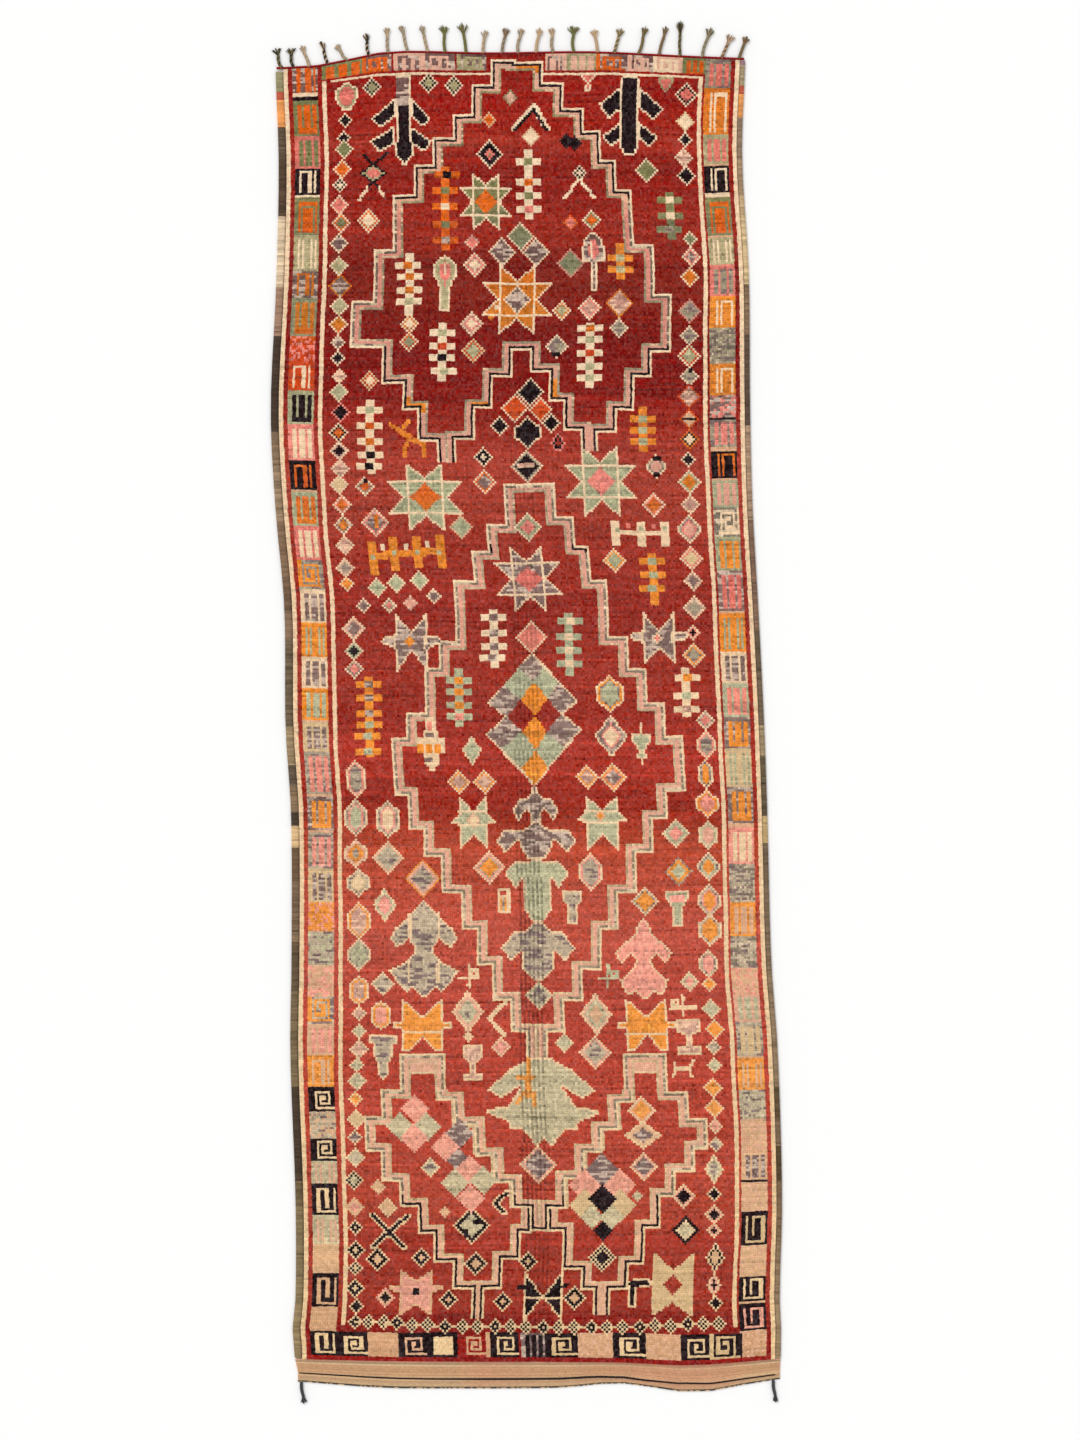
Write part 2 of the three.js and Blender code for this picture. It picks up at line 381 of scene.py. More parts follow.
def end_cells(text, first_row, last_row, height):
    """The cells of one short end: places from and to, a figure, its ground and its yarn."""
    for left, right, drawing, ground, yarn in table(text):
        first_column = int(round(seat(left, height)[0]))
        last_column = int(round(seat(right, height)[0]))
        cell(first_column, first_row, last_column, last_row, drawing, ground, yarn)


print(len(CELLS), "border figures")

# %% Border cells of the two long sides
LEFT_CELLS = """
68 93 rails o v
93 98 plain c c
98 101 plain k k
101 138 fork g o
138 169 bars p g
169 195 hook k c
195 199 plain c c
199 235 nest g o
235 271 thin l c
271 299 hook v o
299 338 fork g o
338 362 fleck o p
362 391 hook o c
392 425 fork l k
425 461 bars p c
461 491 hook k o
492 525 fork l o
525 560 bars p c
560 590 key o e
590 623 bars c v
623 657 thin o g
657 689 bars c v
689 720 bars o l
721 752 bars y v
752 795 bars e p
797 831 fork v o
832 869 bars e p
869 902 bars y v
902 932 fleck o p
932 966 fleck e l
966 996 fleck s p
996 1024 key o e
1024 1055 bars s p
1055 1086 hook o s
1086 1112 spiral c k
1112 1139 fleck e s
1139 1161 spiral c k
1161 1184 thin l q
1184 1214 coil c k
1214 1245 thin l q
1245 1272 plain s s
1272 1307 coil s k
1307 1330 plain s s
1330 1357 coil c k
"""
RIGHT_CELLS = """
56 88 bars e p
88 135 hook a c
135 165 bars l p
167 194 hook k c
194 198 plain c c
198 236 nest g o
238 265 thin l c
265 296 bars p e
296 329 hook a c
329 363 fleck e n
363 395 hook a c
395 417 fleck v p
417 421 plain k k
421 448 bars e p
451 479 hook k o
480 507 bars l q
507 538 key c n
538 571 bars g o
571 611 bars v p
614 652 thin o g
652 683 bars c v
684 717 bars l p
717 750 fork v o
750 787 thin y l
787 823 fork v o
827 863 bars p c
864 903 fleck e n
903 936 bars o s
936 967 fleck e n
968 995 fleck s p
995 1022 bars q l
1022 1056 bars e y
1057 1090 thin o s
1090 1119 fleck e l
1119 1152 fleck s q
1153 1178 bars s v
1178 1182 plain k k
1182 1210 fleck s q
1211 1245 coil y k
1245 1276 fleck s q
1276 1300 coil c k
1302 1330 coil p k
1331 1357 fleck s q
"""
LEFT_MIDDLE = 315
RIGHT_MIDDLE = 735
INNER_RED = {"left": 2, "right": 1}
for side, inner_red in INNER_RED.items():
    first = 0
    outer_lines = (("c", LINE_WIDE), ("r", LINE_WIDE))
    for yarn, wide in (*outer_lines, ("s", CELL_WIDE), ("r", inner_red), ("c", LINE_WIDE)):
        if side == "left":
            chart[:, first:first + wide] = yarn
        else:
            chart[:, COLUMNS - first - wide:COLUMNS - first] = yarn
        first += wide
side_cells(LEFT_CELLS, CELL_FROM, LEFT_MIDDLE, False)
side_cells(RIGHT_CELLS, COLUMNS - CELL_TO, RIGHT_MIDDLE, True)
print("side cells:", len(table(LEFT_CELLS)), "and", len(table(RIGHT_CELLS)))

# %% Border cells of the two ends
TOP_CELLS = """
322 362 bars g o
362 392 key o v
394 421 comb q v
421 455 key q v
456 487 key l v
545 567 hook q v
567 595 bars l q
595 627 key o v
627 654 key q v
654 682 key c q
682 706 fork g o
"""
BOTTOM_CELLS = """
338 367 spiral c k
367 399 plain s s
399 426 spiral q k
427 458 frame c k
460 486 spiral s r
486 491 plain s s
491 519 spiral c k
520 545 bars v k
546 577 spiral y k
577 613 fleck s q
613 645 spiral c k
645 681 fleck s q
681 709 spiral c k
710 742 key y k
742 764 fleck s q
"""
TOP_HEIGHT = 62
BOTTOM_HEIGHT = 1345
TOP_CELL_ROWS = 7
TOP_LINES = ((332, 491), (543, 704))
TOP_LINE_HEIGHT = 76
BOTTOM_RED_ROWS = 16
BOTTOM_CELL_ROWS = 13
LAST_ROWS = 2
chart[:TOP_CELL_ROWS + 1, CELL_TO:COLUMNS - CELL_TO] = "r"
end_cells(TOP_CELLS, 0, TOP_CELL_ROWS, TOP_HEIGHT)
for left, right in TOP_LINES:
    first = int(seat(left, TOP_LINE_HEIGHT)[0])
    last = int(seat(right, TOP_LINE_HEIGHT)[0])
    chart[TOP_CELL_ROWS + 1, first:last] = "c"
chart[-BOTTOM_RED_ROWS:, CELL_TO:COLUMNS - CELL_TO] = "r"
end_cells(BOTTOM_CELLS, ROWS - BOTTOM_CELL_ROWS, ROWS - LAST_ROWS, BOTTOM_HEIGHT)
chart[-LAST_ROWS:, LINE_WIDE:-LINE_WIDE] = "r"
print("end cells:", len(table(TOP_CELLS)), "and", len(table(BOTTOM_CELLS)))

# %% [markdown]
# ## The stepped lozenges
# Three large lozenges with stepped sides fill the field, and the lowest one is a pair with a deep valley
# between. Each is a band four knots wide. A stepped line turns a right angle at every corner, so it is
# enough to list, in turn, the height and then the place where it turns. The rings then run inwards. The
# letter b is a dark line whose yarn is chosen afterwards: black in some stretches, charcoal in the rest.

# %% Stepped bands
def corners(text):
    """Corner places of a stepped line: a first place, then heights and places in turn."""
    right, below, *turns = [float(word) for word in text.split()]
    places = [(right, below)]
    for count, turn in enumerate(turns):
        if count % 2 == 0:
            below = turn
        else:
            right = turn
        places.append((right, below))
    return places


def inside_steps(text):
    """Which knots lie inside a stepped line, with its corners moved to whole knots."""
    spots = np.round([seat(*place) for place in corners(text)])
    squared = [tuple(spots[0])]
    for count, (column, row) in enumerate(spots[1:]):
        squared.append((squared[-1][0], row) if count % 2 == 0 else (column, squared[-1][1]))
    return inside_of(COLUMN, ROW, squared)


def peeled_square(inside):
    """A filled shape without its outermost knots, corners included."""
    solid = np.pad(inside, 1)
    kept = inside.copy()
    for down in range(3):
        for right in range(3):
            kept &= solid[down:down + ROWS, right:right + COLUMNS]
    return kept


def band(inside, rings, where=True):
    """Paints only the rings of a stepped shape, the pink one wider at its sides, and leaves its middle."""
    for yarn in rings:
        core = peeled_square(inside)
        if yarn == "q":
            core[:, 1:-1] &= core[:, :-2] & core[:, 2:]
        chart[inside & ~core & where] = yarn
        inside = core
    return inside


TOP_LOZENGE = """490 61 85 471 115 452 139 432.5 166 413 194 394 248 373.5 300 352.5 348 382 384 402 412 418
442 437 461 458 441 475 409.5 493 378 511 350 530 372 548 403 563 432 580 451 599 433 618 412 634 378 652
353 671.7 293 653.6 244.5 634 190 617.5 160 600.5 132 584.5 108.7 563 83 543.5 61"""
MIDDLE_LOZENGE = """504 484 523 486 551 472 581 453 640 438 668 423 712 405.5 737 391 797 408 831 424 858 442
894 460 929 476 966 492.5 1001 510.6 1033 527 1058 548 1033 566 1000 584 969 602 929 619 892 636 853 653
818 668 791 686 735 667 702 648 668 630 637 608 579 591 546 575 517 557 484"""
LOWER_LEFT = """399 1052 1089 380.5 1115 364 1151 382 1181 400 1207 418 1233 434 1263 452 1290 471 1317 484
1290 502 1260 519 1233 531 1200 521 1172 502 1145 484 1118 464 1091 446 1052"""
LOWER_RIGHT = """624 1052 1092.7 608.8 1120 593 1141 574.8 1170 556 1199 546 1231 562 1268 580 1289 594 1313
610 1289 629 1264 645 1228 661 1197 675.5 1173 694 1150 707.5 1118 688.5 1091.5 667.5 1052"""
VALLEY = """435.5 1000 1101 454 1125.5 474.5 1156 492 1182.5 511 1209 529 1231 548 1209 566.5 1179.5 585.7
1151 603.3 1130.5 619 1102.5 633.6 1000"""
BAND = "cbqt"
BAR_TO = 1072
BAR_LINE = (1070, 1073)
VALLEY_FROM = 1090
for lozenge in (TOP_LOZENGE, MIDDLE_LOZENGE):
    band(inside_steps(lozenge), BAND)
for lozenge in (LOWER_LEFT, LOWER_RIGHT):
    field_inside = band(inside_steps(lozenge), BAND)
    chart[field_inside & (ROW < row_at(BAR_TO))] = "q"
    chart[field_inside & (ROW > row_at(BAR_LINE[0])) & (ROW < row_at(BAR_LINE[1]))] = "c"
valley = inside_steps(VALLEY)
below_bars = ROW > row_at(VALLEY_FROM)
chart[valley & below_bars] = "r"
band(valley, BAND, below_bars)
print("stepped bands drawn")

# %% Open stems and yarn changes along the bands
STEMS = ((434, 461, 449, 462), (577, 602, 439, 452), (524, 551, 1046, 1059), (468, 487, 1305, 1318),
         (591, 613, 1300, 1314))
for left, right, top, bottom in STEMS:
    first, row = (int(round(part)) for part in seat(left, top))
    last, end = (int(round(part)) for part in seat(right, bottom))
    chart[row:end, first:last] = chart[row - 1, first:last]
BLACK_STRETCHES = ((0, 200), (345, 470), (544, 552), (1195, 1340))
ORANGE_STRETCHES = ((515, 543, 60, 74), (404, 437, 398, 413), (470, 493, 402, 412), (546, 559, 380, 404))
charcoal = chart == "b"
for first, last in BLACK_STRETCHES:
    chart[charcoal & (ROW > row_at(first)) & (ROW <= row_at(last))] = "k"
chart[chart == "b"] = "n"
for first, last, top, bottom in ORANGE_STRETCHES:
    first_column, first_row = seat(first, top)
    last_column, last_row = seat(last, bottom)
    stretch = (COLUMN > first_column) & (COLUMN < last_column) & (ROW > first_row) & (ROW < last_row)
    chart[stretch & (chart == "q")] = "a"
print("black knots in the bands:", int((chart == "k").sum()))

# %% [markdown]
# ## Diamonds down the sides
# A string of small diamonds runs inside each border, most of them tied in whatever yarn was left over.
# They are one shape in many sizes, so a table with a place, a size and the rings of yarn is all they need.

# %% Diamond strings
LEFT_STRING = """
344.6 122 16 18 ck
344.6 138 17 15 ck
343 151 20 18 cg
342 169 20 19 co
340 186 18 17 ckc
340 205 18 20 cp
341 222.5 20 20 cog
340 244 19 22 cv
340 266 20 19 cl
340 287 22 22 ov
340 307 19 19 cl
340 325.5 19 17 co
339 342 18 17 cv
338.5 358 17 17 ck
339 375.5 17 17 cm
339 393 18 18 cl
339.5 411.5 18 18 pk
338 431.5 18 20 cko
339 450.5 19 19 cmk
340 468 18 18 cm
340 484.5 18 18 cy
342 505.5 19 20 cpo
344 525.5 18 21 cvo
345 546 20 20 cm
346 567 20 20 cme
348 582.5 16 16 co
354 629.5 25 23 cqv
354 651.5 23 20 clk
355 669.5 23 20 cep
359 1014 17 18 cm
358 1031 17 18 cl
358 1050 18 19 cm
358 1066 16 17 cl
357 1082 20 20 cl
357 1099 17 18 co
356 1119 18 20 cy
356 1137 17 18 cv
356 1157 18 20 cle
355 1180 18 20 ckl
356 1206 20 24 ssp
356 1227 17 17 ckkc
356 1249 17 19 ckkc
356 1268 15 17 ckc
356 1287 17 20 ckkc
356 1305 15 17 ck
"""
RIGHT_STRING = """
685 121 18 20 yc
685 139 17 17 ck
684 158 19 20 cm
685 177 19 20 ck
689 238 15 18 cg
689.5 256 19 20 cpv
690 278 21 21 co
689 312 25 24 qe
689.5 335 22 20 ce
689.5 356 24 21 col
689.5 375.5 19 18 ce
689.5 396 26 24 om
690 419.5 22 20 os
689 439 20 21 okc
689 458.5 16 18 ck
688 482.5 24 28 cla
689 504 18 20 cm
690.5 558.5 25 24 cpy
693 580.5 20 20 cmv
694 608.5 22 24 cme
694 633.5 18 17 cpk
695 655 23 22 coe
704.5 721 19 21 cep
710.5 985 15 18 co
712 1010 18 20 cl
714 1030 18 19 co
714 1048 17 18 ce
714 1066 17 18 cl
714 1087 18 21 co
714 1108 18 20 co
714 1125 14 15 cp
715 1143 17 18 ce
714 1168 20 27 cle
714 1194 14 16 ck
714 1213 20 20 cpk
714 1230.5 17 17 cpk
714 1257.5 18 30 cks
714 1284 17 24 cpk
716 1303 16 18 ck
"""
draw_all(diamond, LEFT_STRING)
draw_all(diamond, RIGHT_STRING)
OVAL_STRINGS = """
690 530 22 29 cepq
356.5 780 20 36 cpe
356 817 22 36 cepl
357 852.5 23 30 cqooe
359 884 22 30 ceyc
358.5 920.5 22 36 com
358 955 22 33 cel
359 992 21 31 com
705.5 744.5 18 27 cpe
706 774 17 27 ceo
706 804 23 30 cop
708 835 21 30 clq
708 866 25 29 celo
708 900 22 32 cepo
709 931 24 34 ceo
709 963 20 27 cep
"""
draw_all(oval, OVAL_STRINGS)
print("strings:", len(table(LEFT_STRING)), "left,", len(table(RIGHT_STRING)), "right")

# %% String of checked diamonds over the end border
CHECKS = 24
CHECK_SIZE = (15, 16)
CHECK_RIGHT = {0: 355, 4: 411, 7: 462, 23: 720}
CHECK_BELOW = {0: 1321.5, 4: 1323, 7: 1327, 18: 1326.5, 23: 1323.5}
THREAD_WIDE = 2.6
THREAD_LONG = 11
for count in range(CHECKS):
    right = np.interp(count, list(CHECK_RIGHT), list(CHECK_RIGHT.values()))
    below = np.interp(count, list(CHECK_BELOW), list(CHECK_BELOW.values()))
    if count:
        stroke("c", THREAD_WIDE, [(right - THREAD_LONG, below), (right, below)])
    diamond(right, below, *CHECK_SIZE, "ckck" if count % 3 else "ckkc")
print(CHECKS, "checked diamonds")

# %% [markdown]
# ## Loose motifs
# Between the lozenges the weaver set diamonds, ladders, stars, plants, birds, goblets and small animals
# wherever there was room. Diamonds, ladders and stars are tables again, with a place and a size.

# %% Loose diamonds
LOOSE = """
372 87 18 20 ckl
429 84 18 18 ckl
453 86 17 20 ckl
687 96 22 25 ckp
511 97 14 18 tq
489 122 15 17 so
532 136 21 20 sc
489.5 156 28 28 ckkkp
372.5 173 27 20 klp
646.5 172 24 26 cg
370 221 24 22 coc
579.5 172.5 16 15 ckc
567.5 140.5 15 12 k
576 144.5 15 12 k
502 253 28 28 cv
536 252 28 28 cv
520 237.5 29 28 cg
472 243 15 17 mp
474 265 25 21 cpmc
472 324.5 23 24 cmpc
473.5 352 25 24 yol
409 323.5 25 18 coc
409.5 343.5 22 20 cog
571.5 222.5 15 19 op
591 221.5 21 22 cgo
569 263 27 28 qg
620 303.5 28 29 om
619.5 328.5 22 21 ce
589 308.5 23 21 cpm
562.5 312 21 18 col
555.5 348 22 24 ce
492 316 13 10 o
516 408.5 28 28 co
541.5 410 24 24 co
530 392 31 30 ck
499.5 425 21 21 ck
552 423.5 21 21 ck
527 466 32 30 cek
484 456.5 21 22 ckkw
484.5 482 22 22 cov
369.5 381 21 20 yoc
365.5 487.5 21 19 ceo
376.5 522 26 30 cpv
462.5 526.5 23 21 sl
653.5 504 24 26 cpo
377 587 19 20 cl
397 584 19 20 cl
419 582 19 20 cl
434.5 598 15 15 cv
363 606 16 15 cv
388.5 606 16 16 cep
411.5 603.5 15 15 mq
614.5 561 22 22 col
528 527.5 26 30 cggp
531 637 31 32 cp
460 782.5 22 25 com
485 781 22 25 com
587 778 21 25 com
614 776 26 28 copv
490.5 868 27 35 cpeo
423 878.5 32 39 oqqe
389 858 30 34 cqle
385 905 25 33 clp
382.5 984 21 24 ce
643.5 901 24 30 ceo
676.5 834 25 30 cllp
678.5 871.5 26 35 eool
689.5 981 20 17 clp
538 995 27 28 cle
502 1046.5 20 22 cp
565.5 1043 20 20 cl
467 1011.5 32 41 cqqlle
467 1035 10 10 c
597 1013.5 34 41 cqlls
596.5 1052 33 35 cpe
537.5 1165 34 39 cpv
430 1167.5 18 18 cle
380 1187 17 13 s
389 1207 20 20 cs
444.5 1212 13 12 s
471 1226 38 37 ckkl
378 1259 23 27 ckks
420.5 1256 17 20 ckks
476 1263.5 21 25 ckks
386 1296 17 22 psk
449 1300 21 22 ckks
502.5 1301 18 18 ckks
527.5 1262 18 23 ckks
642 1109.5 25 28 cqo
642 1135 36 30 cssv
642.5 1166.5 30 29 cpv
637 1195 15 11 l
602 1257.5 28 33 ckck
684 1196.5 22 26 cpk
685 1231 26 30 kkcl
575.5 1298 19 26 ckks
"""
draw_all(diamond, LOOSE)
LOOSE_OVALS = """
528 432 26 34 ck
657 465.5 21 24 ceq
609 693.5 28 39 coel
388.5 820.5 25 39 cepc
590 871.5 25 36 cpe
381 1016 21 31 cop
"""
draw_all(oval, LOOSE_OVALS)
print(len(table(LOOSE)), "loose diamonds")

# %% Harlequin groups of diamonds
HARLEQUINS = """
415 1109 30 28 p
402 1126 28 28 l
428 1126 28 28 l
415 1138 28 28 p
460.5 1133 28 27 v
446.5 1146 26 28 p
459 1159 26 26 v
471 1168.5 26 28 p
456 1183 28 30 l
484 1181 28 30 l
471 1197 28 30 p
602 1168 28 34 v
585 1184 34 34 p
619 1184 34 34 p
584 1204 34 34 y
620 1204 34 34 y
592 1216 22 26 l
612 1216 22 26 l
602 1199 26 28 k
602.5 1229 20 24 k
"""
draw_all(diamond, HARLEQUINS)
print(len(table(HARLEQUINS)), "harlequin diamonds")

# %% Stars and ladders
STARS = """
486.5 202 54 58 g o
518 300 75 71 o cv
426 498 78 70 l o
600 483 73 71 l p
528 578 67 66 v p
"""
draw_all(star, STARS)
LADDERS = """
529.5 149 219 w 163g 182o 196.5g 210.5p
446.5 168 252 o 175k 191g 208c 225g 241v
669.5 192 240 g 201c 215.5c 230e
409 253 315 w 265.5o 278o 291o 301.5l
442.5 323 381 w 332.5l 346.5o 359k 371l
620 244 281 a 258l 271l
589.5 324 390 w 330o 341l 354o 366.5l 379l
370 399 474 c 410l 426o 441o 454k 466k
644 406 451 a 418l 430l 442l
652 552 604 o 560l 574l 589l
493 610 669 w 617v 632.5v 645.5v 658.5v
569.5 615 677 g 622.5c 638c 650c 664c
458.5 669 727 l 680.5o 692o 704.5o 717p
368.5 677 758 o 685v 699v 713v 725l 737.5l 751.5l
687 667 717 c 678o 695l 708.5m
"""
for line in LADDERS.strip().splitlines():
    right, top, bottom, yarn, *bars = line.split()
    ladder(float(right), float(top), float(bottom), yarn, bars)
print(len(table(STARS)), "stars and", len(LADDERS.strip().splitlines()), "ladders")

# %% [markdown]
# Trees, people, birds, goblets and spiked stars are drawn by their corners. Most are the same on both sides,
# so a line of the table gives the top place, the rings, and then how far out and down each corner is. The
# harlequin lozenge in the middle, the branches of the two trees and a pair of wings lean or differ from side
# to side, so they come first, with their rings and then the place of every corner.

# %% Leaning shapes
LEANING = """
c 532:652 577.5:702 563.5:715 582.5:730 535:787 486:734 504.5:717 487:703
v 532:654 518:667.6 533.6:681.5 543:667.6
g 518:667.6 533.6:681.5 520:699.4 503:685.6
g 543:667.6 533.6:681.5 547.4:699.4 558:682.5
o 533.6:681.5 520:699.4 535:716 547.4:699.4
v 489:703.5 503:685.6 520:699.4 507:717
v 547.4:699.4 558.5:683 575:702 560.5:714.6
r 520:699.4 535:716 522.5:731 507:717
r 547.4:699.4 560.5:714.6 547:732.5 535:716
o 535:716 522.5:731 536:750.5 547:732.5
v 488:734 507:717 522.5:731 503:748.5
v 547:732.5 560.5:714.6 580.5:730 564:748.5
g 522.5:731 536:750.5 522.5:768.5 503:748.5
g 547:732.5 564:748.5 549:767.5 536:750.5
o 536:750.5 522.5:768.5 535:785 549:767.5
ck 396:97 371:119.5 380:128 396:116
ck 410:96 431:119.5 423:127.5 410:116
ck 394:126 369:141.5 379:153 394:144.5
ck 409.5:126 432.5:142 424:152.5 409.5:143.5
ck 624:85.5 599.5:105 609:120 624:108
ck 639:87 664.5:110 654:122 639:107.5
ck 622.5:122 602:137.5 611.5:148 622.5:140
ck 639.5:122.5 658.5:138.5 650:148.5 639.5:140
ck 523.5:1269.5 543.5:1295.5 523.5:1321.5
ck 562.5:1269.5 543:1295.5 562.5:1321.5
"""
for line in LEANING.strip().splitlines():
    rings, *corner_words = line.split()
    shape(rings, pairs_of(corner_words))
print(len(LEANING.strip().splitlines()), "leaning shapes")

# %% Shapes that are the same on both sides
MIRRORED = """
402.5 76 ck 7:0 8.5:3 8.5:65 10.5:66 10.5:76 1:87
631 77 ck 8.5:0 9.5:10 10.5:52 10:70 4:78
345.5 84 clp 3:0 11:6 12:11 11:17 3:29
588.5 74 cp 8:0 6:4 1:9 3:12 2:17
666 78 lp 8:0 8:4 0:15
446 256 cllp 2:0 8:4 11:8 11:20 8:24 8:30 4.5:33 4.5:55
591.5 233.5 cvvp 3:0 8:5 11.5:13 11.5:27 4:28 4:56 2:58
558 435.5 pkr 1:0 4:3 7:9 6:13 1:17
410 615 cv 0:18 15.5:-1 15.5:22 27:22 31:26 27:31 20:32 15.5:36 15.5:58 0:36
657.5 612 cv 0:17 15.5:-1 15.5:19 27:20 29:24 27:28 15.5:29 15.5:50 0:36
473 795 cl 0:16 14:0 14:17 23.5:27 14:29 14:55 0:40
600.5 794 cl 0:14 16.5:0 16.5:16 25.5:25 16.5:27 16.5:56 0:40
429.5 719.5 c 4.5:0 4.5:13 6.5:13 6.5:19 15:19 15:36 6.5:36 6.5:47 3:50 1.5:54
471 736 cl 1:0 9.5:12 1:29
611 717 cvvpc 1:0 16:18 14:24 1:40
641 724 cl 2:0 2:9 9.5:10 9.5:17 3:27 3:31 6:31 6:35 1.5:35 1.5:42
535.5 786 cv 1:0 4:5 5:11 14:12 21:20 23:27 17:35 13:28 8:24 6:26 6:38
535.5 823 cv 4:0 9:6 15:8 33:8 40:20 31:31 17:18 15:26 9:36 5:37
536.5 860 cl 6:0 12:1 22:2 30:10 31:16 21:28 15:18 13:18 13:50 4:63
538.5 924 ce 5:0 12:7 15:9 25:9 37:25 27:38 16:27 15:46 4:58
423.5 900 ce 1:0 28:27 34:37 27:47 15:38 9:46 9:50 20:62 35:70 27:80 18:91 12:85 5:92 1:96
643.5 918 cp 1:0 6:5 8:14 29:33 22:45 12:35 7:41 12:50 24:61 20:72 14:77 10:73 1:80
572 891 ce 10:0 10:8 5:15 4.5:17 4.5:32
677 893 cl 11:0 11:7 4.5:17 4.5:34
421.5 997.5 co 0:18 20:0 20:23 29:23 29:31 20:31 20:54 13:54 0:40
645 998.5 co 0:18 20:0 20:23 28:23 28:31 20:31 20:54 13:54 0:37
382 1035 ce 15:0 15:8 9:9 9:20 6:27 4.5:28 4.5:40 1:43
473.5 1044.5 cm 10:0 10:12 4:18 3:19 3:28 10:28 10:35
688 1020 cm 11.5:0 11.5:11 4:15 3:16 3:27 11:27 11:34
540 1058 cl 12:0 14:3 29:10 53:31 40:40 20:28 33:47 55:51 54:55 33:64 34:72 20:72 8:87 0:80
416.5 1267 sp 0:11 17:0 17:16 26:17 26:22 17:23 17:48 0:36
673.5 1253 y 0:17 19.5:0 19.5:63 0:49
"""
for line in MIRRORED.strip().splitlines():
    right, below, rings, *corner_words = line.split()
    figure(float(right), float(below), rings, pairs_of(corner_words))
HEARTS = """
673.5 1284 18 20 r
410 643 12 12 o
657.5 638 13 12 cp
473 819 12 16 sc
600.5 816 13 13 so
"""
draw_all(diamond, HEARTS)
print(len(MIRRORED.strip().splitlines()), "mirrored shapes")

# %% [markdown]
# Last come the thin things: lines inside the figures, arms, chevrons, and stick animals that are nothing
# but lines, and then single squares of yarn. A line is a yarn, a width and the places it runs through.

# %% Lines
LINES = """
k 3 363:156 373:165
k 3 387:153 374:165
k 3 373:182 368:188
c 3 368:188 360:200
k 3 374:182 379:188
c 3 379:188 385:197
c 7 515:128.5 534.5:107.5 547:128.5
k 3.2 515.5:130 534.5:110 546.5:130
c 3 578.5:180 565:198
c 3 580.5:180 594:198
a 4 390:425 400:431
a 4.5 408.5:422 402:431
a 6 400:431 414:441
a 4.5 414:441 425:446
a 4 408:442 405.5:447 405.5:456.5
a 4 425:446 424.5:456.5
o 7 373:556 441:552
c 5 614:533.5 666:533
k 3 684:419.5 695:419.5
c 2.6 394.5:636 394.5:648
c 2.6 425.5:636 425.5:648
c 2.6 642:631 642:641
c 2.6 673:631 673:641
c 2.6 459:811 487:811
c 2.6 459:825 487:825
c 2.6 584:810 617:810
c 2.6 584:823 617:823
c 2.6 409.5:913 409.5:938
c 2.6 438:913 438:938
c 2.6 409.5:962 409.5:982
c 2.6 438:962 438:982
c 3.5 469:964 469:985
c 3 459:977 478:977
l 3.5 608:964 608:986
l 3 598.5:977 617:977
c 2.6 402:1032 441:1032
c 2.6 626:1034 665:1034
c 4.5 505:1003 489:1018 505:1036
c 3.5 683:997 683:1015
c 3 671:1008 696:1008
c 3 674:1062 677:1069 690:1068 694:1061
c 3 677:1069 673:1077
c 3 689:1069 692:1077
o 5 529:1060 529:1096
o 4 518:1077 534:1077
o 4 518:1103 524:1093 534:1093 535:1105
c 6.5 373.5:1215 403:1246
c 6.5 407.5:1215 372.5:1246
k 3 373.5:1215 403:1246
k 3 407.5:1215 372.5:1246
c 6 507:1193 495:1204 504:1212
k 3 507:1193 495:1204 504:1212
c 9 632:1304 632:1284 647:1283.5
k 5 632:1304 632:1284 647:1283.5
c 2.6 527:1297 541:1297
c 2.6 547:1297 561:1297
k 3.4 518:1287 527:1287
k 3.4 561:1286 567:1284
"""
for line in LINES.strip().splitlines():
    yarn, wide, *place_words = line.split()
    stroke(yarn, float(wide), pairs_of(place_words))
print(len(LINES.strip().splitlines()), "lines")

# %% Squares
SQUARES = """
402.5 91 13 27 v
489.5 156 3 3 g
497 308 5 5 w
591.5 249 3 15 c
446 270 3 12 c
555.5 354.5 8 5 k
527 466 17 5 m
657 458 8 4 k
657 474 7 4 k
689.5 371 5 4 k
365.5 481 5 4 k
376.5 522 5 14 o
373 558.5 9 33 o
395.5 554.5 9 33 o
417.5 553 9 32 o
441 552.5 9 33 o
373.5 557 5 5 l
395.5 554 5 5 l
417.5 552.5 5 5 l
440.5 552.5 5 5 l
384 548 5 7 w
406.5 546.5 5 7 w
429 545.5 5 7 w
616.5 534 9 24 c
641 534 9 25 c
664 533 9 24 c
616.5 529.5 5 5 l
641 529 5 5 l
664 528 5 5 l
628.5 525.5 5 5 p
652.5 525.5 5 5 p
429.5 726 5 9 p
429.5 736 8 4 v
420.5 748 6 9 o
429.5 748 6 9 o
438.5 748 6 9 o
429.5 761 8 5 v
503 901 12.5 25 c
503 893 7.5 5 r
503 905 7.5 14 o
503 905 2.5 14 e
677 898 15 6 p
474 972 8 8 c
474 972 3 3 r
614 973 8 8 l
614 973 3 3 r
676 1003 8 8 c
676 1003 3 3 r
416.5 1290 7 7 k
465 1233 4 8 k
477 1221 8 5 k
"""
draw_all(block, SQUARES)
print(len(table(SQUARES)), "squares")

# %% [markdown]
# ## Dyes
# Hand-dyed wool is never even. Each lot of yarn was a little different, which shows as bands of colour
# across the rug, and light has faded some yarns more at one end. So each yarn has its colours at a few
# heights, mixed in between, with a streak for every row and a small change for every knot.

# %% Colours of the yarns
def linear(colour):
    """A colour as it looks, from 0 to 255, as the amounts of light that Blender works with."""
    share = np.asarray(colour, float) / 255
    return np.where(share <= 0.04045, share / 12.92, ((share + 0.055) / 1.055) ** 2.4)


